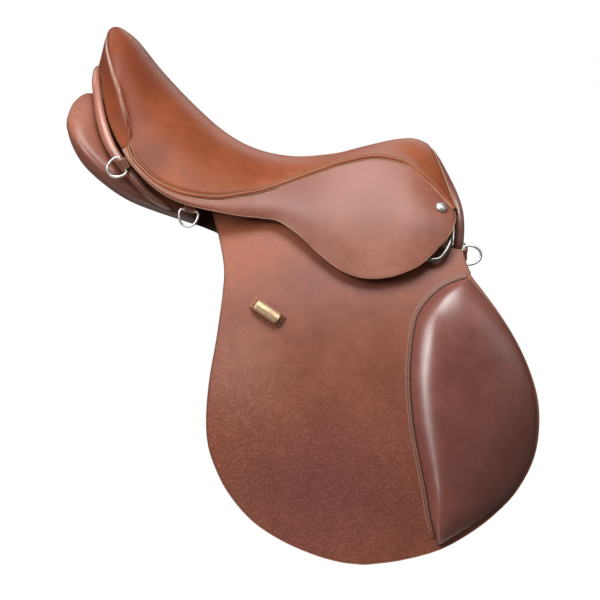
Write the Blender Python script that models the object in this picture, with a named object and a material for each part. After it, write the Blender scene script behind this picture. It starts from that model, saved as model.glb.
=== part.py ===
"""All-purpose saddle: a leather riding saddle on a wooden tree, with its panels, flaps and fittings.

Metres, +X to the pommel, +Y to the horse's left, +Z up. The saddle is level and the origin lies on its
centre plane. Every piece of a side is worked out for the left and mirrored for the right.
"""

import math

import bmesh
import bpy
from mathutils import Vector

for old in list(bpy.data.objects):
    bpy.data.objects.remove(old, do_unlink=True)

# Gaps
FIT_GAP = 0.0004
LAYER_GAP = 0.0007
CURVED_GAP = 0.0011
WELT_GAP = 0.0006
SLIDE_GAP = 0.0006
SLOT_GAP = 0.0012

# Leather and other sheet thicknesses
FLAP_THICKNESS = 0.0045
SKIRT_THICKNESS = 0.0034
COVER_THICKNESS = 0.0024
SWEAT_THICKNESS = 0.0034
STRAP_THICKNESS = 0.0038
WEB_THICKNESS = 0.0018
FOAM_THICKNESS = 0.0100
TREE_THICKNESS = 0.0090

# The side of the saddle: a leaning surface whose straight lines run along the bend of the flap
BEND_X = 0.104
BEND_Z = -0.009
BEND_ANGLE = math.radians(16.0)
SIDE_HALF_WIDTH = 0.1415
SIDE_LEAN = -0.060
UPPER_SLOPE = 0.53
LOWER_SLOPE = 0.23
STRAIGHT_FROM = 0.100
TURN_IN = 0.012
TURN_IN_REACH = 0.120
TURN_IN_FRONT = 0.070
TURN_IN_REAR = -0.110
TURN_IN_DEPTH = 0.200

# Flap outline in the side surface: along the bend, then down from it
FLAP_REAR_EDGE = [
    (-0.1384, 0.0), (-0.1480, 0.0441), (-0.1587, 0.0861), (-0.1649, 0.1232), (-0.1659, 0.1499),
    (-0.1622, 0.1715), (-0.1495, 0.2042), (-0.1261, 0.2372), (-0.0977, 0.2602), (-0.0649, 0.2784),
    (-0.0338, 0.2904), (-0.0072, 0.2959),
]
FLAP_FRONT_EDGE = [
    (0.1390, 0.0), (0.1630, 0.0393), (0.1802, 0.0734), (0.1921, 0.1071), (0.1982, 0.1402),
    (0.1963, 0.1726), (0.1867, 0.2043), (0.1656, 0.2343), (0.1435, 0.2532), (0.1140, 0.2713),
    (0.0751, 0.2875), (0.0307, 0.2948), (-0.0072, 0.2959),
]
FLAP_TOP_REAR_EDGE = [(-0.1384, 0.0), (-0.1342, -0.0305), (-0.1376, -0.0661), (-0.1437, -0.0958)]
FLAP_TOP_FRONT_EDGE = [(0.1390, 0.0), (0.1382, -0.0044), (0.1351, -0.0156), (0.1334, -0.0290)]

# Knee pad on the flap
PAD_REAR_EDGE = [
    (0.1350, 0.0026), (0.1202, 0.0050), (0.1026, 0.0121), (0.0842, 0.0268), (0.0737, 0.0421),
    (0.0665, 0.0684), (0.0606, 0.1055), (0.0597, 0.1482), (0.0620, 0.1802), (0.0665, 0.2228),
    (0.0688, 0.2544), (0.0736, 0.2820),
]
PAD_FRONT_EDGE = [
    (0.1360, 0.0030), (0.1560, 0.0366), (0.1730, 0.0715), (0.1850, 0.1063), (0.1903, 0.1402),
    (0.1885, 0.1716), (0.1797, 0.2008), (0.1602, 0.2286), (0.1397, 0.2457), (0.1119, 0.2634),
    (0.0762, 0.2820),
]
PAD_HEIGHT = 0.0200
PAD_EDGE_HEIGHT = 0.0016

# Layers under the flap, as depths below its inner face
STRAP_DEPTH = 0.0042
SWEAT_DEPTH = 0.0110
SWEAT_INSET = 0.014
PANEL_FLAP_THICKNESS = 0.0130
PANEL_FLAP_INSET = 0.026
SWEAT_TOP = -0.012
PANEL_FLAP_TOP = -0.004

# Girth straps and their guard
STRAP_WIDTH = 0.025
STRAP_SPACING = 0.038
STRAP_LENGTH = 0.257
STRAP_TIP = 0.008
STRAP_TIP_WIDTH = 0.014
STRAP_END = 0.0255
STRAP_END_LEAN = math.radians(3.0)
STRAP_BENT_LENGTH = 0.125
STRAP_MIDDLE_X = 0.084
STRAP_PIVOT_DOWN = -0.008
STRAP_HEAD = 0.014
GUARD_DOWN = 0.170
GUARD_LENGTH = 0.062
GUARD_FRONT = 0.0022
GUARD_BACK = 0.0016
GUARD_MARGIN = 0.008

# Seat: one row for each station from the pommel to the top of the cantle: centre x, centre z, edge x,
# edge y, edge z, and how the line between them falls off (fore and aft, then down)
SEAT_STATIONS = [
    (0.172, 0.1640, 0.209, 0.098, 0.099, 1.7, 1.75),
    (0.166, 0.1685, 0.199, 0.094, 0.108, 1.7, 1.8),
    (0.150, 0.1710, 0.181, 0.088, 0.123, 1.7, 1.9),
    (0.130, 0.1660, 0.161, 0.083, 0.136, 1.7, 2.0),
    (0.113, 0.1590, 0.143, 0.078, 0.144, 1.7, 2.1),
    (0.091, 0.1490, 0.108, 0.074, 0.144, 1.8, 2.2),
    (0.069, 0.1385, 0.070, 0.077, 0.129, 2.0, 2.2),
    (0.047, 0.1310, 0.049, 0.081, 0.117, 2.0, 2.2),
    (0.024, 0.1250, 0.029, 0.087, 0.105, 2.0, 2.2),
    (0.000, 0.1225, 0.008, 0.095, 0.092, 2.0, 2.2),
    (-0.024, 0.1235, -0.013, 0.104, 0.080, 2.0, 2.3),
    (-0.049, 0.1290, -0.033, 0.113, 0.072, 2.0, 2.3),
    (-0.075, 0.1400, -0.060, 0.125, 0.063, 2.0, 2.3),
    (-0.102, 0.1560, -0.094, 0.133, 0.061, 2.0, 2.3),
    (-0.130, 0.1750, -0.122, 0.134, 0.067, 2.0, 2.2),
    (-0.158, 0.1960, -0.142, 0.131, 0.078, 2.1, 2.1),
    (-0.186, 0.2200, -0.155, 0.127, 0.088, 2.2, 2.0),
    (-0.205, 0.2305, -0.163, 0.123, 0.099, 2.3, 1.95),
]
CANTLE_RIDGE = [
    (-0.2255, 0.000, 0.2220), (-0.2225, 0.020, 0.2160), (-0.218, 0.040, 0.204), (-0.206, 0.070, 0.184),
    (-0.192, 0.092, 0.162), (-0.179, 0.106, 0.145), (-0.1675, 0.1145, 0.129), (-0.1625, 0.1190, 0.1150),
    (-0.1635, 0.1210, 0.1040), (-0.1660, 0.1215, 0.0975),
]
CANTLE_FOOT = [
    (-0.2270, 0.000, 0.1870), (-0.2255, 0.020, 0.1810), (-0.219, 0.040, 0.170), (-0.210, 0.066, 0.151),
    (-0.196, 0.090, 0.123), (-0.181, 0.108, 0.103), (-0.1725, 0.1150, 0.0940),
]
CANTLE_CROWN = 0.0055
RIDGE_STATION = 19
LAST_STATION = 20
WELT_RADIUS = 0.0016
WELT_LAST_STATION = 17.0

# Skirt
SKIRT_EDGE = [
    (0.2085, 0.104, 0.096), (0.210, 0.118, 0.085), (0.205, 0.131, 0.067), (0.193, 0.141, 0.048),
    (0.179, 0.1485, 0.030), (0.164, 0.1525, 0.019), (0.149, 0.154, 0.011), (0.133, 0.154, 0.006),
    (0.116, 0.153, 0.004), (0.093, 0.149, 0.008), (0.068, 0.141, 0.020), (0.042, 0.132, 0.036),
    (0.023, 0.125, 0.045), (0.011, 0.122, 0.048), (-0.005, 0.122, 0.047), (-0.028, 0.127, 0.045),
    (-0.056, 0.133, 0.045), (-0.084, 0.138, 0.046), (-0.108, 0.138, 0.050), (-0.133, 0.135, 0.061),
    (-0.157, 0.129, 0.078), (-0.171, 0.123, 0.093),
]
SKIRT_BULGE = 0.012
SKIRT_BEND_X = 0.000
SKIRT_BEND_Z = 0.049
SKIRT_BEND_RISE = 0.149
SKIRT_AXIS_Y = 0.1375
SKIRT_SPLIT = 0.0004

# Wooden and steel parts of the tree
HEAD_PATH = [
    (0.156, 0.000, 0.140), (0.163, 0.025, 0.133), (0.176, 0.050, 0.114), (0.186, 0.073, 0.093),
    (0.192, 0.088, 0.072), (0.196, 0.096, 0.050), (0.198, 0.101, 0.032),
]
HEAD_DEPTH = 0.0255
HEAD_THICKNESS = 0.009
GULLET_PLATE_THICKNESS = 0.0024
GULLET_PLATE_WIDTH = 0.0204
ARCH_ROWS = 15
BAR_RADIUS = 0.0027
BAR_PATH = [
    (0.1962, 0.0939, 0.0733), (0.205, 0.109, 0.071), (0.208, 0.1240, 0.064), (0.2055, 0.1325, 0.0520),
    (0.199, 0.1370, 0.0410), (0.186, 0.1374, 0.0380), (0.170, 0.1362, 0.0380), (0.158, 0.1353, 0.0380),
    (0.140, 0.1325, 0.0380), (0.119, 0.1298, 0.0380),
]
CATCH_LENGTH = 0.017
CATCH_WIDTH = 0.0060
CATCH_GAP = 0.0009

# Covered arch of the pommel and covered roll round the back
FACING_PATH = [
    (0.1735, 0.000, 0.1535), (0.1805, 0.024, 0.1453), (0.1960, 0.052, 0.1240), (0.2090, 0.077, 0.1030),
    (0.2155, 0.089, 0.0860), (0.2190, 0.0965, 0.0640), (0.2190, 0.101, 0.0480),
]
FACING_DEPTH = 0.011
FACING_THICKNESS = 0.018
ROLL_PATH = [
    (-0.2290, 0.000, 0.1795), (-0.2245, 0.040, 0.1640), (-0.2160, 0.063, 0.1450), (-0.2020, 0.088, 0.1180),
    (-0.1870, 0.1035, 0.0950), (-0.1720, 0.1130, 0.0800), (-0.1530, 0.1185, 0.0640),
    (-0.1310, 0.1220, 0.0480), (-0.1040, 0.1240, 0.0375),
]
ROLL_WIDTH = 0.0125
ROLL_THICKNESS = 0.0104

# Panel: for each station x, the six corners of its section as (y, z): channel foot, bearing, outer
# foot, outer top, roof, channel top
PANEL_STATIONS = [
    (-0.2440, (0.048, 0.106), (0.062, 0.101), (0.076, 0.107), (0.077, 0.120), (0.062, 0.129), (0.049, 0.123)),
    (-0.2370, (0.039, 0.095), (0.064, 0.088), (0.088, 0.095), (0.091, 0.115), (0.066, 0.139), (0.042, 0.136)),
    (-0.2240, (0.034, 0.080), (0.066, 0.073), (0.098, 0.080), (0.102, 0.098), (0.070, 0.136), (0.037, 0.148)),
    (-0.2000, (0.033, 0.064), (0.068, 0.056), (0.106, 0.063), (0.112, 0.080), (0.078, 0.108), (0.036, 0.138)),
    (-0.1600, (0.033, 0.052), (0.070, 0.038), (0.110, 0.042), (0.115, 0.058), (0.086, 0.084), (0.036, 0.112)),
    (-0.1200, (0.033, 0.048), (0.070, 0.032), (0.108, 0.033), (0.114, 0.044), (0.084, 0.074), (0.036, 0.100)),
    (-0.0900, (0.033, 0.049), (0.067, 0.030), (0.105, 0.028), (0.114, 0.040), (0.080, 0.068), (0.036, 0.092)),
    (-0.0600, (0.033, 0.052), (0.063, 0.031), (0.096, 0.023), (0.103, 0.038), (0.075, 0.063), (0.036, 0.084)),
    (-0.0300, (0.033, 0.056), (0.061, 0.033), (0.090, 0.014), (0.098, 0.032), (0.070, 0.062), (0.036, 0.080)),
    (0.0100, (0.033, 0.062), (0.062, 0.035), (0.094, -0.006), (0.100, 0.020), (0.070, 0.062), (0.037, 0.080)),
    (0.0600, (0.034, 0.070), (0.066, 0.040), (0.100, -0.004), (0.108, 0.022), (0.074, 0.066), (0.040, 0.088)),
    (0.1100, (0.038, 0.082), (0.072, 0.048), (0.106, 0.008), (0.114, 0.026), (0.082, 0.064), (0.046, 0.094)),
    (0.1500, (0.042, 0.092), (0.078, 0.056), (0.108, 0.022), (0.114, 0.036), (0.084, 0.070), (0.050, 0.100)),
    (0.1720, (0.046, 0.094), (0.080, 0.062), (0.107, 0.030), (0.112, 0.040), (0.080, 0.068), (0.050, 0.098)),
]
PANEL_SIDES = 16
PANEL_SHEAR = 0.30
PANEL_SHEAR_FROM = 0.060
PANEL_SHEAR_HEIGHT = 0.030

# D-rings: middle of the bar, direction of the bar, direction in which the ring hangs, length of the tab
DEE_WIDTH = 0.021
DEE_REACH = 0.018
DEE_WIRE = 0.0014
DEE_PLACES = {
    "rear_upper": ((-0.1668, 0.1248, 0.0768), (0.65, 0.0, -0.76), (-0.745, 0.12, -0.637), 0.0060),
    "rear_lower": ((-0.0840, 0.1286, 0.0410), (1.0, 0.0, 0.0), (0.0, 0.05, -1.0), 0.0140),
    "front": ((0.2270, 0.1150, 0.0500), (0.19, 0.0, -0.98), (0.98, 0.05, 0.19), 0.0110),
}
TAB_WIDTH = 0.012
TAB_LEATHER = 0.0011

# Saddle nail
NAIL_PLACE = (0.191, 0.0965)
NAIL_RADIUS = 0.0068
NAIL_HEIGHT = 0.0045
NAIL_GAP = 0.0003

# Keeper on the flap
KEEPER_MIDDLE = (-0.0893, 0.0184)
KEEPER_ANGLE = math.radians(38.5)
KEEPER_LENGTH = 0.040
KEEPER_WIDTH = 0.013
KEEPER_ROOM = 0.0050
KEEPER_THICKNESS = 0.0022
PLATE_LENGTH = 0.030
PLATE_WIDTH = 0.0085
PLATE_THICKNESS = 0.0010

SIDES = (("right", -1.0), ("left", 1.0))


def curve_at(points, fraction):
    """Point at a fraction of the chord length of the smooth curve through the points."""
    spots = [Vector(p) for p in points]
    lengths = [0.0]
    for start, end in zip(spots, spots[1:]):
        lengths.append(lengths[-1] + (end - start).length)
    target = min(max(fraction, 0.0), 1.0) * lengths[-1]
    i = 0
    while i < len(spots) - 2 and lengths[i + 1] < target:
        i += 1
    span = lengths[i + 1] - lengths[i]
    t = (target - lengths[i]) / span

    def slope(k):
        low = max(k - 1, 0)
        high = min(k + 1, len(spots) - 1)
        return (spots[high] - spots[low]) / (lengths[high] - lengths[low])

    a = 2 * t**3 - 3 * t**2 + 1
    b = t**3 - 2 * t**2 + t
    c = -2 * t**3 + 3 * t**2
    d = t**3 - t**2
    return spots[i] * a + slope(i) * (b * span) + spots[i + 1] * c + slope(i + 1) * (d * span)


def even(count, start=0.0, end=1.0):
    """Evenly spaced numbers from start to end."""
    return [start + (end - start) * i / (count - 1) for i in range(count)]


def leather(name, color, roughness, metallic=0.0):
    """Principled material of a piece."""
    material = bpy.data.materials.new(name)
    material.use_nodes = True
    shader = material.node_tree.nodes["Principled BSDF"]
    shader.inputs["Base Color"].default_value = (*color, 1.0)
    shader.inputs["Roughness"].default_value = roughness
    shader.inputs["Metallic"].default_value = metallic
    return material


CHESTNUT = (0.30, 0.105, 0.045)
SEAT_LEATHER = (0.34, 0.115, 0.040)
PANEL_LEATHER = (0.26, 0.085, 0.036)
STRAP_LEATHER = (0.20, 0.075, 0.035)
EDGE_TAN = (0.55, 0.33, 0.17)
STEEL = (0.62, 0.62, 0.60)
BRASS = (0.75, 0.58, 0.26)
BEECH = (0.62, 0.46, 0.28)
WEBBING = (0.66, 0.60, 0.48)
FOAM = (0.80, 0.76, 0.60)


def finish_object(name, mesh_data, color, roughness, metallic=0.0, origin=None):
    """Object from a bmesh in world metres, with its own material and its origin where asked."""
    bmesh.ops.recalc_face_normals(mesh_data, faces=mesh_data.faces[:])
    place = Vector(origin) if origin is not None else Vector((0.0, 0.0, 0.0))
    bmesh.ops.translate(mesh_data, vec=-place, verts=mesh_data.verts[:])
    mesh = bpy.data.meshes.new(name)
    mesh_data.to_mesh(mesh)
    mesh_data.free()
    mesh.shade_smooth()
    mesh.set_sharp_from_angle(angle=math.radians(40))
    mesh.materials.append(leather(name, color, roughness, metallic))
    part = bpy.data.objects.new(name, mesh)
    part.location = place
    bpy.context.scene.collection.objects.link(part)
    return part


def mirrored(point, side):
    return Vector((point[0], point[1] * side, point[2]))


def sheet(outer, inner, side):
    """Closed bmesh between two grids of points of the same shape, for one side of the saddle."""
    shape = bmesh.new()
    rows = len(outer)
    columns = len(outer[0])
    top = [[shape.verts.new(mirrored(p, side)) for p in row] for row in outer]
    under = [[shape.verts.new(mirrored(p, side)) for p in row] for row in inner]
    for i in range(rows - 1):
        for j in range(columns - 1):
            shape.faces.new((top[i][j], top[i + 1][j], top[i + 1][j + 1], top[i][j + 1]))
            shape.faces.new((under[i][j], under[i][j + 1], under[i + 1][j + 1], under[i + 1][j]))
    rim = [(0, j) for j in range(columns)]
    rim += [(i, columns - 1) for i in range(1, rows)]
    rim += [(rows - 1, j) for j in range(columns - 2, -1, -1)]
    rim += [(i, 0) for i in range(rows - 2, 0, -1)]
    for k, (i, j) in enumerate(rim):
        m, n = rim[(k + 1) % len(rim)]
        shape.faces.new((top[i][j], top[m][n], under[m][n], under[i][j]))
    return shape


def rings(loops, side=1.0, closed=False):
    """Closed bmesh through a row of loops of points, capped at both ends or joined up."""
    shape = bmesh.new()
    made = [[shape.verts.new(mirrored(p, side)) for p in loop] for loop in loops]
    count = len(loops[0])
    pairs = list(zip(made, made[1:]))
    if closed:
        pairs.append((made[-1], made[0]))
    for one, two in pairs:
        for k in range(count):
            m = (k + 1) % count
            shape.faces.new((one[k], one[m], two[m], two[k]))
    if not closed:
        shape.faces.new(made[0])
        shape.faces.new(list(reversed(made[-1])))
    return shape


def band(path, outward, width, thickness, corner=0.35, taper=None):
    """Loops of a soft-edged rectangular section along a path; outward gives the thickness direction."""
    loops = []
    for k, spot in enumerate(path):
        before = path[max(k - 1, 0)]
        after = path[min(k + 1, len(path) - 1)]
        along = (Vector(after) - Vector(before)).normalized()
        out = Vector(outward[k])
        out = (out - along * out.dot(along)).normalized()
        across = along.cross(out)
        scale = taper[k] if taper else 1.0
        half_w = width / 2 * scale
        half_t = thickness / 2 * scale
        cut = min(half_w, half_t) * corner * 2
        corners = [
            (half_w - cut, half_t), (half_w, half_t - cut), (half_w, -half_t + cut), (half_w - cut, -half_t),
            (-half_w + cut, -half_t), (-half_w, -half_t + cut), (-half_w, half_t - cut), (-half_w + cut, half_t),
        ]
        loops.append([Vector(spot) + across * u + out * v for u, v in corners])
    return loops


def round_tube(path, radius, sides, closed=False):
    """Loops of a round section along a path."""
    loops = []
    count = len(path)
    out = None
    for k, spot in enumerate(path):
        if closed:
            along = (Vector(path[(k + 1) % count]) - Vector(path[k - 1])).normalized()
        else:
            along = (Vector(path[min(k + 1, count - 1)]) - Vector(path[max(k - 1, 0)])).normalized()
        if out is None:
            out = along.orthogonal().normalized()
        out = (out - along * out.dot(along)).normalized()
        across = along.cross(out)
        turns = [2 * math.pi * (n + 0.5) / sides for n in range(sides)]
        loops.append([Vector(spot) + (out * math.cos(t) + across * math.sin(t)) * radius for t in turns])
    return loops


# Side surface

def side_y(along, down):
    """Half width of the flap's inner face at a place along and down from the bend."""
    y = SIDE_HALF_WIDTH + SIDE_LEAN * along
    if down < 0:
        return y + UPPER_SLOPE * down
    curve = (UPPER_SLOPE - LOWER_SLOPE) / (2 * STRAIGHT_FROM)
    y += LOWER_SLOPE * down
    y += curve * (STRAIGHT_FROM**2 - max(STRAIGHT_FROM - down, 0.0) ** 2)
    share = min(down / TURN_IN_DEPTH, 1.0)
    past = max(along - TURN_IN_FRONT, TURN_IN_REAR - along, 0.0)
    return y - TURN_IN * share * (past / TURN_IN_REACH) ** 2


def bend_place(along, down):
    """x and z of a place given along and down from the bend of the flap."""
    x = BEND_X + along * math.cos(BEND_ANGLE) + down * math.sin(BEND_ANGLE)
    z = BEND_Z + along * math.sin(BEND_ANGLE) - down * math.cos(BEND_ANGLE)
    return x, z


def from_bend(x, z):
    """Along and down from the bend of the flap for a place x, z."""
    along = (x - BEND_X) * math.cos(BEND_ANGLE) + (z - BEND_Z) * math.sin(BEND_ANGLE)
    down = (x - BEND_X) * math.sin(BEND_ANGLE) - (z - BEND_Z) * math.cos(BEND_ANGLE)
    return along, down


def side_point(along, down, outward):
    """Point of the left side, outward from the flap's inner face."""
    x, z = bend_place(along, down)
    return Vector((x, side_y(along, down) + outward, z))


def between(rear, front, fractions, columns):
    """Grid of places between a rear and a front edge curve, at the same fraction of both."""
    grid = []
    for fraction in fractions:
        start = curve_at(rear, fraction)
        end = curve_at(front, fraction)
        grid.append([start.lerp(end, t) for t in columns])
    return grid


def side_sheet(grid, outer, inner, side):
    """Closed sheet on the side surface between two distances from the flap's inner face."""
    top = [[side_point(p[0], p[1], outer) for p in row] for row in grid]
    under = [[side_point(p[0], p[1], inner) for p in row] for row in grid]
    return sheet(top, under, side)


def flap_pivot(side):
    """Point and direction of the line that a flap lifts about, on its outer face."""
    spot = mirrored(side_point(0.0, 0.0, FLAP_THICKNESS), side)
    along = Vector((math.cos(BEND_ANGLE), SIDE_LEAN, math.sin(BEND_ANGLE))).normalized()
    return spot, mirrored(along, side) * side


def inset_edge(edge, middle, inset, top):
    """Edge curve moved towards a middle place by an inset, starting at a given height."""
    moved = []
    for place in edge:
        away = Vector(place) - Vector(middle)
        moved.append(Vector(middle) + away * (1 - inset / away.length))
    kept = [p for p in moved if p[1] > top + inset]
    first = Vector((kept[0][0], top))
    return [tuple(first)] + [tuple(p) for p in kept]


# Seat surface

def seat_line(row, share):
    """Point on the left half of one line of the seat: its table, then the cantle's crown, ridge and foot."""
    row = min(max(row, 0), LAST_STATION)
    if row >= RIDGE_STATION:
        return curve_at(CANTLE_RIDGE if row == RIDGE_STATION else CANTLE_FOOT, share)
    if row > RIDGE_STATION - 2:
        before = seat_line(row - 1, share)
        after = seat_line(row + 1, share)
        crown = Vector((after.z - before.z, 0.0, before.x - after.x)).normalized()
        return (before + after) / 2 + crown * (CANTLE_CROWN * (1 - share**2) + 0.001)
    centre_x, centre_z, edge_x, edge_y, edge_z, fore, fall = SEAT_STATIONS[row]
    x = centre_x + (edge_x - centre_x) * share**fore
    z = centre_z + (edge_z - centre_z) * share**fall
    return Vector((x, edge_y * share, z))


def seat_point(station, across):
    """Point of the seat's top, across from -1 to 1; a station may lie between two lines."""
    low = int(min(max(math.floor(station), 0), LAST_STATION - 1))
    t = station - low
    before, here, after, beyond = (seat_line(low + k, abs(across)) for k in (-1, 0, 1, 2))
    point = here * (2 * t**3 - 3 * t**2 + 1) + (after - before) * ((t**3 - 2 * t**2 + t) / 2)
    point = point + after * (-2 * t**3 + 3 * t**2) + (beyond - here) * ((t**3 - t**2) / 2)
    point.y = math.copysign(point.y, across)
    return point


def seat_normal(station, across):
    """Outward normal of the seat's top."""
    step = 0.02
    along = seat_point(min(station + step, LAST_STATION), across)
    along = along - seat_point(max(station - step, 0.0), across)
    sideways = seat_point(station, min(across + step, 1.0)) - seat_point(station, max(across - step, -1.0))
    return along.cross(sideways).normalized() * -1.0


def seat_patch(stations, places, near, far):
    """Closed sheet below the seat's top, between two depths."""
    top = []
    under = []
    for station in stations:
        points = [seat_point(station, t) for t in places]
        normals = [seat_normal(station, t) for t in places]
        top.append([p - n * near for p, n in zip(points, normals)])
        under.append([p - n * far for p, n in zip(points, normals)])
    return top, under


def pairs_of(places):
    """The places and their mirror images, from one edge to the other."""
    return [-p for p in reversed(places) if p > 0] + list(places)


# Tree: head, rails and cantle of laminated beech

TREE_NEAR = COVER_THICKNESS + FOAM_THICKNESS + WEB_THICKNESS + 4 * LAYER_GAP
TREE_FAR = TREE_NEAR + TREE_THICKNESS


def mirrored_path(path):
    """A path from the right end over the centre to the left end."""
    return [(x, -y, z) for x, y, z in reversed(path[1:])] + list(path)


def arch(path, shift, width, thickness, count, trim=0):
    """Loops of an arch whose section is width fore and aft and thickness across, trimmed at both ends."""
    whole = mirrored_path(path)
    spots = [curve_at(whole, f) for f in even(count)]
    outward = []
    for k, spot in enumerate(spots):
        along = (spots[min(k + 1, count - 1)] - spots[max(k - 1, 0)]).normalized()
        outward.append(Vector((0, along.z, -along.y)) * -1.0)
    moved = [s + o.normalized() * shift for s, o in zip(spots, outward)]
    return band(moved, outward, width, thickness)[trim:count - trim]


finish_object("tree_head", rings(arch(HEAD_PATH, 0.0, HEAD_DEPTH, HEAD_THICKNESS, ARCH_ROWS)), BEECH, 0.6)
plate_shift = -(HEAD_THICKNESS + GULLET_PLATE_THICKNESS) / 2 - CURVED_GAP
plate_loops = arch(HEAD_PATH, plate_shift, GULLET_PLATE_WIDTH, GULLET_PLATE_THICKNESS, ARCH_ROWS, trim=2)
finish_object("gullet_plate", rings(plate_loops), STEEL, 0.35, 1.0)

RAIL_START = 2.29
RAIL_END = 14.4
RAIL_STATIONS = even(12, RAIL_START, RAIL_END)
RAIL_INNER = 0.46
RAIL_OUTER = 0.80
for name, side in SIDES:
    grids = seat_patch(RAIL_STATIONS, even(4, RAIL_INNER, RAIL_OUTER), TREE_NEAR, TREE_FAR)
    finish_object("tree_rail_" + name, sheet(*grids, side), BEECH, 0.6)

CANTLE_START = 14.45
CANTLE_END = 16.8
cantle_stations = even(4, CANTLE_START, CANTLE_END)
cantle_grids = seat_patch(cantle_stations, pairs_of(even(6, 0.0, RAIL_OUTER)), TREE_NEAR, TREE_FAR)
finish_object("tree_cantle", sheet(*cantle_grids, 1.0), BEECH, 0.6)

WEBBING_START = 2.8
WEBBING_END = 14.3
WEBBING_EDGE = RAIL_INNER - 0.012
webbing_stations = even(10, WEBBING_START, WEBBING_END)
webbing_places = pairs_of(even(3, 0.0, WEBBING_EDGE))
webbing_grids = seat_patch(webbing_stations, webbing_places, TREE_NEAR, TREE_NEAR + WEB_THICKNESS)
finish_object("seat_webbing", sheet(*webbing_grids, 1.0), WEBBING, 0.9)

# Seat foam and leather cover

FOAM_NEAR = COVER_THICKNESS + LAYER_GAP * 1.3
COVER_STATIONS = even(18, 0.0, 17.0) + [17.6, 18.2, 18.7, 19.0, 19.5, 20.0]
COVER_PLACES = [0.0, 0.2, 0.4, 0.58, 0.74, 0.88, 1.0]
foam_grids = seat_patch(COVER_STATIONS[1:17], pairs_of(COVER_PLACES[:-1]), FOAM_NEAR, FOAM_NEAR + FOAM_THICKNESS)
finish_object("seat_foam", sheet(*foam_grids, 1.0), FOAM, 0.9)

cover_grids = seat_patch(COVER_STATIONS, pairs_of(COVER_PLACES), 0.0, COVER_THICKNESS)
finish_object("seat_cover", sheet(*cover_grids, 1.0), SEAT_LEATHER, 0.42)


# Skirts and the welts above them

def skirt_top(fraction):
    """Point of the seat's edge at a fraction of the skirt's length, from the pommel back."""
    return seat_point(fraction * WELT_LAST_STATION, 1.0)


def welt_seat(fraction):
    """Middle of the welt beside the seat's edge, and the direction square to it in which the skirt leaves."""
    start = skirt_top(fraction)
    step = 0.01
    along = (skirt_top(min(fraction + step, 1.0)) - skirt_top(max(fraction - step, 0.0))).normalized()
    fall = curve_at(SKIRT_EDGE, fraction) - start
    fall = (fall - along * fall.dot(along)).normalized()
    lean = max(-seat_normal(fraction * WELT_LAST_STATION, 1.0).dot(fall), 0.0)
    return start + fall * (WELT_RADIUS + WELT_GAP + lean * COVER_THICKNESS), fall


def skirt_point(fraction, drop, outward=0.0):
    """Point of the skirt's outer face, from the welt (0) to its own lower edge (1)."""
    middle, fall = welt_seat(fraction)
    start = middle + fall * (WELT_RADIUS + WELT_GAP + max(fall.y, 0.0) * SKIRT_THICKNESS)
    end = curve_at(SKIRT_EDGE, fraction)
    point = start.lerp(end, drop)
    share = min((end - start).length / 0.14, 1.0)
    point.y += SKIRT_BULGE * share * math.sin(math.pi * drop) + outward
    return point


def skirt_bend_drop(fraction):
    """Drop at which the skirt meets its bend line, or 1 where it ends above that line."""
    def above(drop):
        point = skirt_point(fraction, drop)
        return point.z - SKIRT_BEND_Z - SKIRT_BEND_RISE * (point.x - SKIRT_BEND_X)
    if above(1.0) >= 0:
        return 1.0
    low = 0.0
    high = 1.0
    for _ in range(24):
        middle = (low + high) / 2
        if above(middle) > 0:
            low = middle
        else:
            high = middle
    return high


def lobe_range():
    """First and last fraction at which the skirt reaches below its bend line."""
    inside = [f for f in even(400) if skirt_bend_drop(f) < 0.985]
    return inside[0], inside[-1]


LOBE_START, LOBE_END = lobe_range()
SKIRT_FRACTIONS = even(3, 0.0, LOBE_START)[:-1] + even(13, LOBE_START, LOBE_END) + even(9, LOBE_END, 1.0)[1:]
welt_path = [welt_seat(station / WELT_LAST_STATION)[0] for station in COVER_STATIONS[:18]]

for name, side in SIDES:
    finish_object("seat_welt_" + name, rings(round_tube(welt_path, WELT_RADIUS, 5), side), EDGE_TAN, 0.5)
    outer = []
    inner = []
    for fraction in SKIRT_FRACTIONS:
        stop = skirt_bend_drop(fraction)
        if stop < 1.0:
            stop -= SKIRT_SPLIT / (skirt_point(fraction, 1.0) - skirt_point(fraction, 0.0)).length
        drops = even(6, 0.0, stop)
        outer.append([skirt_point(fraction, d) for d in drops])
        inner.append([skirt_point(fraction, d, -SKIRT_THICKNESS) for d in drops])
    finish_object("skirt_" + name, sheet(outer, inner, side), CHESTNUT, 0.45)

    outer = []
    inner = []
    for fraction in even(14, LOBE_START, LOBE_END):
        split = SKIRT_SPLIT / (skirt_point(fraction, 1.0) - skirt_point(fraction, 0.0)).length
        drops = even(5, skirt_bend_drop(fraction) + split, 1.0)
        outer.append([skirt_point(fraction, d) for d in drops])
        inner.append([skirt_point(fraction, d, -SKIRT_THICKNESS) for d in drops])
    lobe_origin = (SKIRT_BEND_X, SKIRT_AXIS_Y * side, SKIRT_BEND_Z)
    finish_object("skirt_lobe_" + name, sheet(outer, inner, side), CHESTNUT, 0.45, origin=lobe_origin)

# Flaps, knee pads and keepers

FLAP_ROWS = [0.0, 0.08, 0.17, 0.27, 0.37, 0.47, 0.57, 0.66, 0.74, 0.81, 0.87, 0.92, 0.96, 0.985]
FLAP_COLUMNS = [0.0, 0.1, 0.25, 0.45, 0.62, 0.74, 0.84, 0.93, 1.0]
PAD_ROWS = [0.0, 0.03, 0.08, 0.16, 0.26, 0.37, 0.48, 0.59, 0.70, 0.80, 0.88, 0.94, 0.98, 1.0]
PAD_COLUMNS = [0.0, 0.06, 0.16, 0.32, 0.52, 0.72, 0.88, 1.0]


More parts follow.
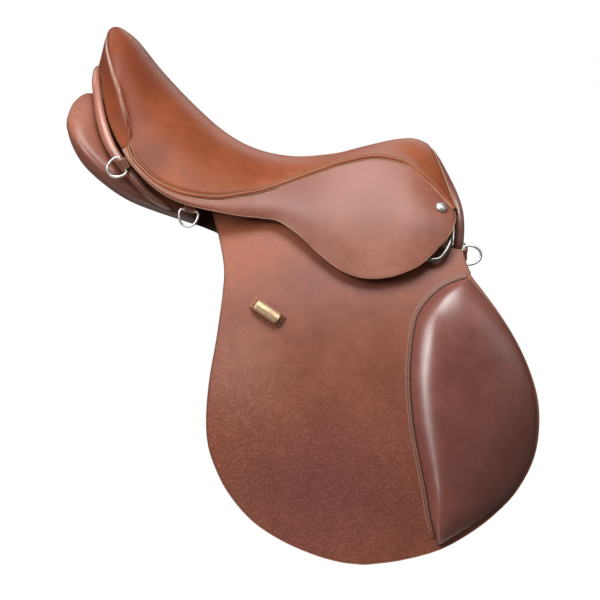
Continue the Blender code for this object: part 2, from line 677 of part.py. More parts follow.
def pad_height(row, column):
    """Height of the knee pad over the flap: steep along its stitched rear edge, gentle in front."""
    rear = min(column / 0.22, 1.0)
    front = min((1 - column) / 0.45, 1.0)
    ends = min(row / 0.10, (1 - row) / 0.08, 1.0)
    swell = math.sin(rear * math.pi / 2) ** 0.8 * math.sin(front * math.pi / 2) ** 0.7
    swell *= math.sin(max(ends, 0.0) * math.pi / 2) ** 0.7
    return PAD_EDGE_HEIGHT + (PAD_HEIGHT - PAD_EDGE_HEIGHT) * swell


def keeper_place(along, across):
    """Place on the side surface, measured along and across the keeper."""
    u = KEEPER_MIDDLE[0] + along * math.cos(KEEPER_ANGLE) - across * math.sin(KEEPER_ANGLE)
    v = KEEPER_MIDDLE[1] + along * math.sin(KEEPER_ANGLE) + across * math.cos(KEEPER_ANGLE)
    return u, v


def keeper_rise(along):
    """Height of the keeper's underside over the flap."""
    share = min(abs(along) / (KEEPER_LENGTH / 2), 1.0)
    return LAYER_GAP + KEEPER_ROOM * (1 - max(share - 0.62, 0.0) / 0.38) ** 0.8


for name, side in SIDES:
    top_grid = between(FLAP_TOP_REAR_EDGE, FLAP_TOP_FRONT_EDGE, even(4), FLAP_COLUMNS)
    for place in top_grid[0]:
        place[1] -= FIT_GAP / 2
    finish_object("flap_top_" + name, side_sheet(top_grid, FLAP_THICKNESS, 0.0, side), CHESTNUT, 0.5)

    origin = flap_pivot(side)[0]
    flap_grid = between(FLAP_REAR_EDGE, FLAP_FRONT_EDGE, FLAP_ROWS, FLAP_COLUMNS)
    for place in flap_grid[0]:
        place[1] += FIT_GAP / 2
    finish_object("flap_" + name, side_sheet(flap_grid, FLAP_THICKNESS, 0.0, side), CHESTNUT, 0.5, origin=origin)

    pad_grid = between(PAD_REAR_EDGE, PAD_FRONT_EDGE, PAD_ROWS, PAD_COLUMNS)
    foot = FLAP_THICKNESS + LAYER_GAP
    outer = []
    inner = []
    for row, places in zip(PAD_ROWS, pad_grid):
        heights = [pad_height(row, column) for column in PAD_COLUMNS]
        outer.append([side_point(p[0], p[1], foot + h) for p, h in zip(places, heights)])
        inner.append([side_point(p[0], p[1], foot) for p in places])
    finish_object("knee_pad_" + name, sheet(outer, inner, side), CHESTNUT, 0.38, origin=origin)

    outer = []
    inner = []
    for share in (-1.0, -0.86, -0.72, -0.6, 0.0, 0.6, 0.72, 0.86, 1.0):
        along = share * KEEPER_LENGTH / 2
        places = [keeper_place(along, KEEPER_WIDTH * w) for w in (-0.5, 0.0, 0.5)]
        under = FLAP_THICKNESS + keeper_rise(along)
        inner.append([side_point(*p, under) for p in places])
        outer.append([side_point(*p, under + KEEPER_THICKNESS) for p in places])
    finish_object("flap_keeper_" + name, sheet(outer, inner, side), CHESTNUT, 0.5, origin=origin)

    outer = []
    inner = []
    base = FLAP_THICKNESS + keeper_rise(0.0) + KEEPER_THICKNESS + FIT_GAP
    for along in even(3, -PLATE_LENGTH / 2, PLATE_LENGTH / 2):
        places = [keeper_place(along, PLATE_WIDTH * w) for w in (-0.5, 0.0, 0.5)]
        inner.append([side_point(*p, base) for p in places])
        outer.append([side_point(*p, base + PLATE_THICKNESS) for p in places])
    finish_object("keeper_plate_" + name, sheet(outer, inner, side), BRASS, 0.3, 1.0, origin=origin)

# Sweat flaps and the thin lower part of the panels

FLAP_MIDDLE = (0.010, 0.120)
for name, side in SIDES:
    rear = inset_edge(FLAP_REAR_EDGE, FLAP_MIDDLE, SWEAT_INSET, SWEAT_TOP)
    front = inset_edge(FLAP_FRONT_EDGE, FLAP_MIDDLE, SWEAT_INSET, SWEAT_TOP)
    grid = between(rear, front, even(12, 0.0, 0.985), even(7))
    body = side_sheet(grid, -SWEAT_DEPTH, -SWEAT_DEPTH - SWEAT_THICKNESS, side)
    finish_object("sweat_flap_" + name, body, STRAP_LEATHER, 0.55)

    rear = inset_edge(FLAP_REAR_EDGE, FLAP_MIDDLE, PANEL_FLAP_INSET, PANEL_FLAP_TOP)
    front = inset_edge(FLAP_FRONT_EDGE, FLAP_MIDDLE, PANEL_FLAP_INSET, PANEL_FLAP_TOP)
    columns = [0.0, 0.05, 0.14, 0.3, 0.5, 0.7, 0.86, 0.95, 1.0]
    fractions = even(12, 0.0, 0.985)
    grid = between(rear, front, fractions, columns)
    start = -SWEAT_DEPTH - SWEAT_THICKNESS - CURVED_GAP
    outer = []
    inner = []
    for fraction, places in zip(fractions, grid):
        outer.append([side_point(p[0], p[1], start) for p in places])
        swell = [min(c / 0.14, (1 - c) / 0.14, (1 - fraction) / 0.15, 1.0) for c in columns]
        depth = [0.003 + (PANEL_FLAP_THICKNESS - 0.003) * math.sin(s * math.pi / 2) for s in swell]
        inner.append([side_point(p[0], p[1], start - d) for p, d in zip(places, depth)])
    finish_object("panel_flap_" + name, sheet(outer, inner, side), PANEL_LEATHER, 0.5)

# Girth straps, their guard and the web that carries them

PLANE_NORMAL_AB = (-SIDE_LEAN, -LOWER_SLOPE)


def lower_plane():
    """Outward normal of the straight lower part of the side, down direction and across direction."""
    along = Vector((math.cos(BEND_ANGLE), 0.0, math.sin(BEND_ANGLE)))
    down = Vector((math.sin(BEND_ANGLE), 0.0, -math.cos(BEND_ANGLE)))
    normal = (Vector((0.0, 1.0, 0.0)) + along * PLANE_NORMAL_AB[0] + down * PLANE_NORMAL_AB[1]).normalized()
    fall = Vector((0.0, 0.0, -1.0))
    fall = (fall - normal * fall.dot(normal)).normalized()
    return normal, fall, fall.cross(normal)


def strap_pivot(x):
    """Point on the middle of a strap's thickness where it swings."""
    down = STRAP_PIVOT_DOWN
    along = (x - BEND_X - down * math.sin(BEND_ANGLE)) / math.cos(BEND_ANGLE)
    return side_point(along, down, -STRAP_DEPTH - STRAP_THICKNESS / 2)


def strap_grids(pivot, length):
    """Outer and inner face of a strap that hangs from its pivot and follows the side surface."""
    normal, fall, across = lower_plane()
    outer = []
    inner = []
    reaches = [-STRAP_HEAD] + even(7, 0.0, STRAP_BENT_LENGTH) + [length - STRAP_END, length - STRAP_TIP, length]
    for reach in reaches:
        middle = pivot + fall * reach
        half = (STRAP_TIP_WIDTH if reach == length else STRAP_WIDTH) / 2
        lean = max(reach - length + STRAP_END, 0.0) * math.tan(STRAP_END_LEAN)
        row_out = []
        row_in = []
        for sideways in (-half, half):
            spot = middle + across * sideways
            for _ in range(3):
                place = from_bend(spot.x, spot.z)
                y = side_y(*place) - STRAP_DEPTH - lean
                spot = spot + normal * ((y - spot.y) / normal.y)
            row_out.append(spot)
            row_in.append(spot - Vector((0.0, STRAP_THICKNESS, 0.0)))
        outer.append(row_out)
        inner.append(row_in)
    return outer, inner


STRAP_NAMES = ("rear", "middle", "front")
guard_normal, guard_fall, guard_across = lower_plane()
for name, side in SIDES:
    pivots = []
    for index, strap in enumerate(STRAP_NAMES):
        pivot = strap_pivot(STRAP_MIDDLE_X + (index - 1) * STRAP_SPACING)
        pivots.append(pivot)
        body = sheet(*strap_grids(pivot, STRAP_LENGTH), side)
        finish_object("girth_strap_" + strap + "_" + name, body, STRAP_LEATHER, 0.55, origin=mirrored(pivot, side))

    middle = pivots[1] + guard_fall * GUARD_DOWN
    place = from_bend(middle.x, middle.z)
    middle.y = side_y(*place) - STRAP_DEPTH - STRAP_THICKNESS / 2
    offsets = []
    for pivot in pivots:
        offsets.append((pivot - pivots[1]).dot(guard_across))
    slot_half = STRAP_WIDTH / 2 + SLOT_GAP
    room = STRAP_THICKNESS / 2 / guard_normal.y + SLIDE_GAP
    front_y = room + GUARD_FRONT
    back_y = -room - GUARD_BACK
    slots = []
    for offset in sorted(offsets):
        slots += [offset - slot_half, offset + slot_half]
    edges = [slots[0] - GUARD_MARGIN] + slots + [slots[-1] + GUARD_MARGIN]
    shape = bmesh.new()

    def guard_spot(u, v, w):
        return shape.verts.new(mirrored(middle + guard_across * u + guard_fall * v + guard_normal * w, side))

    levels = (back_y, -room, room, front_y)
    ends = (-GUARD_LENGTH / 2, GUARD_LENGTH / 2)
    net = [[[guard_spot(u, v, w) for w in levels] for u in edges] for v in ends]
    cells = [(k, m) for k in range(len(edges) - 1) for m in range(3) if m != 1 or k % 2 == 0]
    low, high = net
    for k, m in cells:
        corners = ((k, m), (k + 1, m), (k + 1, m + 1), (k, m + 1))
        beside = ((k, m - 1), (k + 1, m), (k, m + 1), (k - 1, m))
        shape.faces.new([low[i][j] for i, j in corners])
        shape.faces.new([high[i][j] for i, j in reversed(corners)])
        for n, other in enumerate(beside):
            if other not in cells:
                i, j = corners[n]
                p, q = corners[(n + 1) % 4]
                shape.faces.new((low[i][j], low[p][q], high[p][q], high[i][j]))
    finish_object("buckle_guard_" + name, shape, STRAP_LEATHER, 0.55, origin=mirrored(middle, side))

WEB_STATIONS = (9.0, 8.0, 7.0, 6.0, 5.0, 4.0)
web_depth = STRAP_DEPTH + STRAP_THICKNESS + SLIDE_GAP
half_outer = []
half_inner = []
for down in (0.004, -0.030, -0.058):
    row_out = []
    row_in = []
    for k, station in enumerate(WEB_STATIONS):
        x = STRAP_MIDDLE_X + (k / (len(WEB_STATIONS) - 1) - 0.5) * (2 * STRAP_SPACING + STRAP_WIDTH)
        along = (x - BEND_X - down * math.sin(BEND_ANGLE)) / math.cos(BEND_ANGLE)
        row_out.append(side_point(along, down, -web_depth))
        row_in.append(side_point(along, down, -web_depth - WEB_THICKNESS))
    half_outer.append(row_out)
    half_inner.append(row_in)
web_near = COVER_THICKNESS + FOAM_THICKNESS + 2.3 * LAYER_GAP
for across in (0.95, 0.88, 0.74, 0.58, 0.4, 0.2, 0.0):
    half_outer.append([])
    half_inner.append([])
    for station in WEB_STATIONS:
        spot = seat_point(station, across)
        normal = seat_normal(station, across)
        half_outer[-1].append(spot - normal * web_near)
        half_inner[-1].append(spot - normal * (web_near + WEB_THICKNESS))
other_outer = [[mirrored(p, -1.0) for p in row] for row in half_outer[:-1]]
other_inner = [[mirrored(p, -1.0) for p in row] for row in half_inner[:-1]]
web_outer = half_outer + list(reversed(other_outer))
web_inner = half_inner + list(reversed(other_inner))
finish_object("girth_web", sheet(web_outer, web_inner, 1.0), WEBBING, 0.9)


# Panels

def panel_loop(station):
    """Smooth closed section of the panel at a row of its table."""
    x = station[0]
    corners = [Vector(c) for c in station[1:]]
    count = len(corners)
    loop = []
    for k in range(PANEL_SIDES):
        place = k * count / PANEL_SIDES
        i = int(place)
        t = place - i
        p = [corners[(i + n) % count] for n in (-1, 0, 1, 2)]
        m0 = (p[2] - p[0]) * 0.5
        m1 = (p[3] - p[1]) * 0.5
        spot = p[1] * (2 * t**3 - 3 * t**2 + 1) + m0 * (t**3 - 2 * t**2 + t)
        spot = spot + p[2] * (-2 * t**3 + 3 * t**2) + m1 * (t**3 - t**2)
        lean = min(max((x - PANEL_SHEAR_FROM) / 0.10, 0.0), 1.0)
        shear = PANEL_SHEAR * lean * (PANEL_SHEAR_HEIGHT - spot[1])
        where = from_bend(x + shear, spot[1])
        limit = side_y(*where) - SWEAT_DEPTH - SWEAT_THICKNESS - 2 * LAYER_GAP
        y = min(spot[0], limit) if x > -0.075 else spot[0]
        loop.append(Vector((x + shear, y, spot[1])))
    return loop


for name, side in SIDES:
    body = rings([panel_loop(s) for s in PANEL_STATIONS], side)
    finish_object("panel_" + name, body, PANEL_LEATHER, 0.45)

# Covered arch of the pommel and roll round the back

finish_object("pommel_facing", rings(arch(FACING_PATH, 0.0, FACING_DEPTH, FACING_THICKNESS, 21)), CHESTNUT, 0.45)

roll_whole = mirrored_path(ROLL_PATH)
roll_spots = [curve_at(roll_whole, f) for f in even(33)]
roll_out = []
for spot in roll_spots:
    roll_out.append(Vector((-0.45, 0.75 * math.copysign(min(abs(spot.y) / 0.1, 1.0), spot.y), -0.55)))
finish_object("rear_roll", rings(band(roll_spots, roll_out, ROLL_WIDTH, ROLL_THICKNESS)), CHESTNUT, 0.45)

# Stirrup bars and their catches

CATCH_NORMAL = Vector((0.0, 1.0, UPPER_SLOPE)).normalized()
for name, side in SIDES:
    spots = [curve_at(BAR_PATH, f) for f in even(14)]
    finish_object("stirrup_bar_" + name, rings(round_tube(spots, BAR_RADIUS, 8), side), STEEL, 0.3, 1.0)
    end = Vector(BAR_PATH[-1])
    back = (end - Vector(BAR_PATH[-2])).normalized()
    back = (back - CATCH_NORMAL * back.dot(CATCH_NORMAL)).normalized()
    path = [end + back * reach for reach in (CATCH_GAP, CATCH_GAP + CATCH_WIDTH / 2, CATCH_LENGTH)]
    body = rings(band(path, [CATCH_NORMAL] * 3, CATCH_WIDTH, BAR_RADIUS * 1.7, taper=(0.26, 1.0, 1.0)), side)
    finish_object("bar_catch_" + name, body, STEEL, 0.3, 1.0, origin=mirrored(end, side))

# D-rings and the leather tabs that hold them


def dee_frame(place):
    """Middle and direction of the bar, direction in which the ring hangs and the normal of its plane."""
    middle, bar, hang = (Vector(v) for v in place[:3])
    bar = bar.normalized()
    hang = (hang - bar * hang.dot(bar)).normalized()
    return middle, bar, hang, bar.cross(hang)


for kind, place in DEE_PLACES.items():
    middle, bar, hang, face = dee_frame(place)
    half = DEE_WIDTH / 2
    path = [middle - bar * half, middle - bar * half / 3, middle + bar * half / 3, middle + bar * half]
    for turn in even(9, 0.08, 0.92):
        angle = math.pi * turn
        reach = DEE_REACH * math.sin(angle) ** 0.8
        path.append(middle + bar * half * 1.04 * math.cos(angle) + hang * (reach + DEE_WIRE * 0.5))
    for name, side in SIDES:
        body = rings(round_tube(path, DEE_WIRE, 6, closed=True), side, closed=True)
        finish_object("dee_" + kind + "_" + name, body, STEEL, 0.25, 1.0, origin=mirrored(middle, side))

        eye = DEE_WIRE + SLIDE_GAP
        thick = eye + TAB_LEATHER
        inner_loop = []
        outer_loop = []
        count = 10
        for n in range(count):
            angle = 2 * math.pi * (n + 0.5) / count
            ray = hang * math.cos(angle) + face * math.sin(angle)
            inner_loop.append(ray * eye / math.cos(math.pi / count))
            reach = ray * thick / math.cos(math.pi / count)
            if math.cos(angle) < -0.8:
                reach = -hang * place[3] + face * math.copysign(TAB_LEATHER, math.sin(angle))
            outer_loop.append(reach)
        shape = bmesh.new()
        loops = []
        for end in (-TAB_WIDTH / 2, TAB_WIDTH / 2):
            for loop in (inner_loop, outer_loop):
                loops.append([shape.verts.new(mirrored(middle + bar * end + p, side)) for p in loop])
        for n in range(count):
            m = (n + 1) % count
            in_low, out_low, in_high, out_high = loops
            shape.faces.new((in_low[n], in_low[m], out_low[m], out_low[n]))
            shape.faces.new((in_high[n], out_high[n], out_high[m], in_high[m]))
            shape.faces.new((in_low[n], in_high[n], in_high[m], in_low[m]))
            shape.faces.new((out_low[n], out_low[m], out_high[m], out_high[n]))
        finish_object("dee_tab_" + kind + "_" + name, shape, STRAP_LEATHER, 0.55)

# Saddle nails

def skirt_place(x, z):
    """Point and outward normal of the skirt at x, z."""
    spots = [(f, d) for f in even(40, 0.0, 0.3) for d in even(40, 0.02, 0.98)]
    f, d = min(spots, key=lambda p: (skirt_point(*p).x - x) ** 2 + (skirt_point(*p).z - z) ** 2)
    along = skirt_point(f + 0.02, d) - skirt_point(f, d)
    down = skirt_point(f, d + 0.02) - skirt_point(f, d)
    return skirt_point(f, d), along.cross(down).normalized() * -1.0


for name, side in SIDES:
    seat, axis = skirt_place(*NAIL_PLACE)
    seat = seat + axis * NAIL_GAP
    east = axis.orthogonal().normalized()
    north = axis.cross(east)
    loops = []
    for level, radius in ((0.0, 1.0), (0.25, 0.98), (0.6, 0.78), (0.88, 0.45), (1.0, 0.12)):
        loop = []
        for n in range(12):
            angle = 2 * math.pi * n / 12
            spread = (east * math.cos(angle) + north * math.sin(angle)) * NAIL_RADIUS * radius
            loop.append(seat + axis * NAIL_HEIGHT * level + spread)
        loops.append(loop)
    finish_object("skirt_nail_" + name, rings(loops, side), STEEL, 0.25, 1.0)
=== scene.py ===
"""All-purpose riding saddle in chestnut leather, dressed over its frame for a studio picture.

Metres, +X to the pommel, +Y to the horse's left, +Z up, as in the frame. Each piece of a side is worked
out for the left and mirrored for the right.
"""

import math

import bmesh
import bpy
import numpy as np
from mathutils import Matrix, Vector


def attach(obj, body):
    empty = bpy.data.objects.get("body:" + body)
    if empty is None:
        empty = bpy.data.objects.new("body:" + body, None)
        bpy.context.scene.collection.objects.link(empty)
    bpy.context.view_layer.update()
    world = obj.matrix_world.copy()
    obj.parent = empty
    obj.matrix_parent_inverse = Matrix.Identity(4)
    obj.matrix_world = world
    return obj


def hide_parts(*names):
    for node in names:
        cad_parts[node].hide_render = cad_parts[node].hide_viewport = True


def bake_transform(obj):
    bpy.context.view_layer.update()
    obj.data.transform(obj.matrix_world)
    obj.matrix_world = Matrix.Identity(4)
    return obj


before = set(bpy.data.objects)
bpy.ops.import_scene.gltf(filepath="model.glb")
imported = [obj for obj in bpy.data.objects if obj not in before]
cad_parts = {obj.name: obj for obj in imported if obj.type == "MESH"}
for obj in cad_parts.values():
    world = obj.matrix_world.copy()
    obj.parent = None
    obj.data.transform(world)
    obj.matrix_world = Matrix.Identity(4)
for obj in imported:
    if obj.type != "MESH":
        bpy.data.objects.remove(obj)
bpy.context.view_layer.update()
SIDES = (("right", -1.0), ("left", 1.0))

# Studio
# A pale round floor under the saddle, a white surround and six soft boxes: a wide one overhead, three to
# the rear, the side and the front, and two weak ones beyond the seat for its far rim. The camera looks
# at the right side, nearly level, with the nose tipped down.

NOSE_DOWN = math.radians(11.0)
LOOK_DOWN = math.radians(3.0)
CAMERA_AIM = Vector((0.0559, 0.0, -0.0406))
CAMERA_DISTANCE = 2.5
FOCAL_LENGTH = 127.5
FILM_WIDTH = 36.0
# Each lamp: its name, its place, the place that it points at, its width and height, its watts.
LAMPS = (
    ("lamp_overhead", (-0.22, -0.68, 1.52), (0.03, 0.0, 0.05), (1.3, 0.7), 27.0),
    ("lamp_rear", (-1.25, -1.00, 0.80), (0.05, -0.1, -0.05), (0.5, 1.2), 10.0),
    ("lamp_side", (-0.95, -1.21, 0.42), (0.12, -0.18, -0.10), (0.28, 0.8), 10.0),
    ("lamp_behind", (-1.05, 0.75, 1.15), (0.0, 0.0, 0.08), (0.9, 0.9), 2.2),
    ("lamp_far", (0.15, 1.50, 1.15), (0.05, 0.0, 0.10), (1.0, 0.5), 3.0),
    ("lamp_fore", (1.15, -0.80, 1.10), (0.05, -0.1, 0.0), (0.5, 0.9), 1.6),
)
SURROUND_LIGHT = 0.13
FLOOR_RADIUS = 0.70
FLOOR_HEIGHT = -0.62
FLOOR_CORNERS = 128
COAT_ROUGHNESS = 0.28

look = Vector((0.0, math.cos(LOOK_DOWN), -math.sin(LOOK_DOWN)))
upright = Vector((0.0, math.sin(LOOK_DOWN), math.cos(LOOK_DOWN)))
picture_right = Vector((1.0, 0.0, 0.0)) * math.cos(NOSE_DOWN) + upright * math.sin(NOSE_DOWN)
picture_up = upright * math.cos(NOSE_DOWN) - Vector((1.0, 0.0, 0.0)) * math.sin(NOSE_DOWN)
camera_data = bpy.data.cameras.new("camera")
camera_data.lens = FOCAL_LENGTH
camera_data.sensor_width = FILM_WIDTH
camera = bpy.data.objects.new("camera", camera_data)
bpy.context.scene.collection.objects.link(camera)
turn = Matrix((picture_right, picture_up, -look)).transposed().to_4x4()
camera.matrix_world = Matrix.Translation(CAMERA_AIM - look * CAMERA_DISTANCE) @ turn
bpy.context.scene.camera = camera
bpy.context.scene.view_settings.view_transform = "Standard"

for name, place, aim, size, watts in LAMPS:
    light = bpy.data.lights.new(name, "AREA")
    light.shape = "RECTANGLE"
    light.size, light.size_y = size
    light.energy = watts
    lamp = bpy.data.objects.new(name, light)
    bpy.context.scene.collection.objects.link(lamp)
    aimed = (Vector(aim) - Vector(place)).to_track_quat("-Z", "Y").to_matrix().to_4x4()
    lamp.matrix_world = Matrix.Translation(place) @ aimed

world = bpy.data.worlds.new("surround")
world.use_nodes = True
surround = world.node_tree.nodes["Background"]
surround.inputs["Color"].default_value = (1.0, 1.0, 1.0, 1.0)
seen = world.node_tree.nodes.new("ShaderNodeLightPath")
level = world.node_tree.nodes.new("ShaderNodeMapRange")
level.inputs["To Min"].default_value = SURROUND_LIGHT
level.inputs["To Max"].default_value = 1.0
world.node_tree.links.new(seen.outputs["Is Camera Ray"], level.inputs["Value"])
world.node_tree.links.new(level.outputs["Result"], surround.inputs["Strength"])
bpy.context.scene.world = world


class Reading:
    """Value that a material's nodes read off a surface; arithmetic on it adds Math nodes."""

    def __init__(self, tree, socket):
        self.tree = tree
        self.socket = socket

    def math(self, operation, *others):
        """Result of one Math node on this reading and others."""
        node = self.tree.nodes.new("ShaderNodeMath")
        node.operation = operation
        for place, value in zip(node.inputs, (self, *others)):
            if isinstance(value, Reading):
                self.tree.links.new(value.socket, place)
            else:
                place.default_value = value
        return Reading(self.tree, node.outputs[0])

    def __add__(self, other):
        return self.math("ADD", other)

    def __sub__(self, other):
        return self.math("SUBTRACT", other)

    def __mul__(self, other):
        return self.math("MULTIPLY", other)

    def __rsub__(self, other):
        return self.math("MULTIPLY", -1.0).math("ADD", other)

    __radd__ = __add__
    __rmul__ = __mul__

    def ramp(self, start, end):
        """0 at start and before it, 1 at end and after it, smooth between."""
        node = self.tree.nodes.new("ShaderNodeMapRange")
        node.interpolation_type = "SMOOTHSTEP"
        self.tree.links.new(self.socket, node.inputs["Value"])
        node.inputs["From Min"].default_value = min(start, end)
        node.inputs["From Max"].default_value = max(start, end)
        made = Reading(self.tree, node.outputs["Result"])
        return made if start < end else 1.0 - made


class Finish:
    """Material of a piece, painted by where each point lies on the saddle at rest."""

    def __init__(self, name, roughness, metallic=0.0, color=(0.5, 0.5, 0.5), coat=0.0, specular=0.5):
        self.material = bpy.data.materials.new(name)
        self.material.use_nodes = True
        self.tree = self.material.node_tree
        self.shader = self.tree.nodes["Principled BSDF"]
        self.shader.inputs["Base Color"].default_value = (*color, 1.0)
        self.shader.inputs["Roughness"].default_value = roughness
        self.shader.inputs["Metallic"].default_value = metallic
        self.shader.inputs["Coat Weight"].default_value = coat
        self.shader.inputs["Coat Roughness"].default_value = COAT_ROUGHNESS
        self.shader.inputs["Specular IOR Level"].default_value = specular

    def node(self, kind, settings, values, output):
        """Any other node: its type, its settings, its socket values, and the output that is read."""
        made = self.tree.nodes.new(kind)
        for key, value in settings.items():
            setattr(made, key, value)
        for key, value in values.items():
            if isinstance(value, Reading):
                self.tree.links.new(value.socket, made.inputs[key])
            else:
                made.inputs[key].default_value = value
        return Reading(self.tree, made.outputs[output])

    def place(self, stretch=(1.0, 1.0, 1.0), turn=(0.0, 0.0, 0.0)):
        """Place on the saddle in metres, stretched and turned where a pattern has a direction."""
        spot = self.node("ShaderNodeTexCoord", {}, {}, "Object")
        return self.node("ShaderNodeMapping", {}, {"Vector": spot, "Scale": stretch, "Rotation": turn}, 0)

    def noise(self, scale, detail=3.0, roughness=0.55, stretch=(1.0, 1.0, 1.0), turn=(0.0, 0.0, 0.0)):
        """Soft clouds, about as many to the metre as the scale says, or streaks where they are stretched."""
        values = {"Vector": self.place(stretch, turn), "Scale": scale, "Detail": detail}
        return self.node("ShaderNodeTexNoise", {}, {**values, "Roughness": roughness}, 0)

    def cells(self, scale):
        """Distance to the middle of the nearest soft cell, with about as many to the metre as the scale."""
        values = {"Vector": self.place(), "Scale": scale}
        return self.node("ShaderNodeTexVoronoi", {"feature": "SMOOTH_F1"}, values, "Distance")

    def near(self, x, z, radius):
        """1 round a place seen from the side, falling to 0 at a radius from it."""
        values = {0: self.place(stretch=(1.0, 0.0, 1.0)), 1: (x, 0.0, z)}
        away = self.node("ShaderNodeVectorMath", {"operation": "DISTANCE"}, values, "Value")
        return away.ramp(radius, radius * 0.15)

    def height(self):
        """Height of the place above the frame's origin."""
        spot = self.node("ShaderNodeTexCoord", {}, {}, "Object")
        return self.node("ShaderNodeSeparateXYZ", {}, {"Vector": spot}, "Z")

    def mask(self, name):
        """Number stored at each point of the mesh under this name."""
        return self.node("ShaderNodeAttribute", {"attribute_name": name}, {}, "Fac")

    def mix(self, factor, one, two):
        """Colour between two colours."""
        colors = [c if isinstance(c, Reading) else (*c, 1.0) for c in (one, two)]
        values = {0: factor, 6: colors[0], 7: colors[1]}
        return self.node("ShaderNodeMix", {"data_type": "RGBA"}, values, 2)

    def put(self, socket, reading):
        """Lead a reading to a socket of the shader."""
        self.tree.links.new(reading.socket, self.shader.inputs[socket])

    def bump(self, height, distance, strength):
        """Small relief from a reading, with the depth that a reading of 1 stands for."""
        values = {"Height": height, "Distance": distance, "Strength": strength}
        self.put("Normal", self.node("ShaderNodeBump", {}, values, 0))


floor_finish = Finish("pale_floor", 0.9, color=(0.86, 0.86, 0.86))
floor_mesh = bpy.data.meshes.new("floor")
floor_turns = [2 * math.pi * n / FLOOR_CORNERS for n in range(FLOOR_CORNERS)]
floor_rim = [(FLOOR_RADIUS * math.cos(t), FLOOR_RADIUS * math.sin(t), FLOOR_HEIGHT) for t in floor_turns]
floor_mesh.from_pydata(floor_rim, [], [range(FLOOR_CORNERS)])
floor_mesh.materials.append(floor_finish.material)
floor = bpy.data.objects.new("floor", floor_mesh)
bpy.context.scene.collection.objects.link(floor)

# Tree
# Head, rails and cantle of laminated beech, with long fine grain and a thin varnish. They carry the
# whole saddle and are screwed to the steel plate under the head.

beech = Finish("varnished_beech", 0.5, coat=0.15)
growth = beech.noise(16.0, 6.0, 0.6, stretch=(1.0, 14.0, 14.0))
layers = beech.noise(900.0, 2.0, 0.5, stretch=(0.05, 1.0, 1.0))
wood = beech.mix(growth, (0.50, 0.31, 0.15), (0.72, 0.52, 0.30))
wood = beech.mix(layers * 0.35, wood, (0.36, 0.20, 0.09))
beech.put("Base Color", wood)
beech.put("Roughness", growth * 0.25 + 0.40)
beech.bump(growth + layers * 0.3, 0.0003, 0.5)
for node in ("tree_head", "tree_rail_right", "tree_rail_left", "tree_cantle"):
    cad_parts[node].material_slots[0].material = beech.material

# Gullet plate
# Arch of pressed steel under the head, which keeps the saddle clear of the horse's withers. It is
# left grey from the rolling mill, with fine rolling marks, and the rails are screwed to it.

plate_steel = Finish("pressed_steel", 0.38, metallic=1.0)
rolling = plate_steel.noise(60.0, 5.0, 0.6, stretch=(1.0, 0.05, 1.0))
plate_steel.put("Base Color", plate_steel.mix(rolling, (0.30, 0.31, 0.33), (0.48, 0.48, 0.49)))
plate_steel.put("Roughness", rolling * 0.3 + 0.25)
plate_steel.bump(rolling, 0.0001, 0.6)
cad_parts["gullet_plate"].material_slots[0].material = plate_steel.material

# Webbing
# Woven linen tape strained over the tree, and the broader web that carries the girth straps: pale
# threads over and under each other, slightly fuzzy.

linen = Finish("linen_webbing", 0.9)
threads = {"Vector": linen.place(), "Scale": 260.0, "Distortion": 0.6, "Detail": 1.0}
lengthwise, crosswise = (
    linen.node("ShaderNodeTexWave", {"wave_type": "BANDS", "bands_direction": way}, threads, 1)
    for way in "XZ")
weave = lengthwise * (1.0 - crosswise) + crosswise * (1.0 - lengthwise)
fuzz = linen.noise(420.0, 2.0)
cloth = linen.mix(weave, (0.38, 0.33, 0.24), (0.70, 0.65, 0.53))
linen.put("Base Color", linen.mix(fuzz * 0.3, cloth, (0.80, 0.76, 0.66)))
linen.bump(weave + fuzz * 0.4, 0.0005, 0.8)
for node in ("seat_webbing", "girth_web"):
    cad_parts[node].material_slots[0].material = linen.material

# Seat foam
# One cut and skived sheet of cream seat foam glued on the webbing. It gives the seat its shape, so the
# tables of the whole seat stand here.

COVER_THICKNESS = 0.0024
FOAM_GAP = 0.0011
FOAM_THICKNESS = 0.0096
FOAM_FIRST_STATION = 1.0
FOAM_LAST_STATION = 16.0
FOAM_SHARE = 0.88
# Each row from the pommel back: centre x, centre z, edge x, edge y, edge z, how late the line falls fore
# and aft, how late it falls down.
SEAT_STATIONS = [
    (0.172, 0.1640, 0.209, 0.098, 0.099, 1.7, 1.75),
    (0.166, 0.1685, 0.199, 0.094, 0.108, 1.7, 1.8),
    (0.150, 0.1710, 0.181, 0.088, 0.123, 1.7, 1.9),
    (0.130, 0.1660, 0.161, 0.083, 0.136, 1.7, 2.0),
    (0.113, 0.1590, 0.143, 0.078, 0.144, 1.7, 2.1),
    (0.091, 0.1490, 0.108, 0.074, 0.144, 1.8, 2.2),
    (0.069, 0.1385, 0.070, 0.077, 0.129, 2.0, 2.2),
    (0.047, 0.1310, 0.049, 0.081, 0.117, 2.0, 2.2),
    (0.024, 0.1250, 0.029, 0.087, 0.105, 2.0, 2.2),
    (0.000, 0.1225, 0.008, 0.095, 0.092, 2.0, 2.2),
    (-0.024, 0.1235, -0.013, 0.104, 0.080, 2.0, 2.3),
    (-0.049, 0.1290, -0.033, 0.113, 0.072, 2.0, 2.3),
    (-0.075, 0.1400, -0.060, 0.125, 0.063, 2.0, 2.3),
    (-0.102, 0.1560, -0.094, 0.133, 0.061, 2.0, 2.3),
    (-0.130, 0.1750, -0.122, 0.134, 0.067, 2.0, 2.2),
    (-0.158, 0.1960, -0.142, 0.131, 0.078, 2.1, 2.1),
    (-0.186, 0.2200, -0.155, 0.127, 0.088, 2.2, 2.0),
    (-0.205, 0.2305, -0.163, 0.123, 0.099, 2.3, 1.95),
]
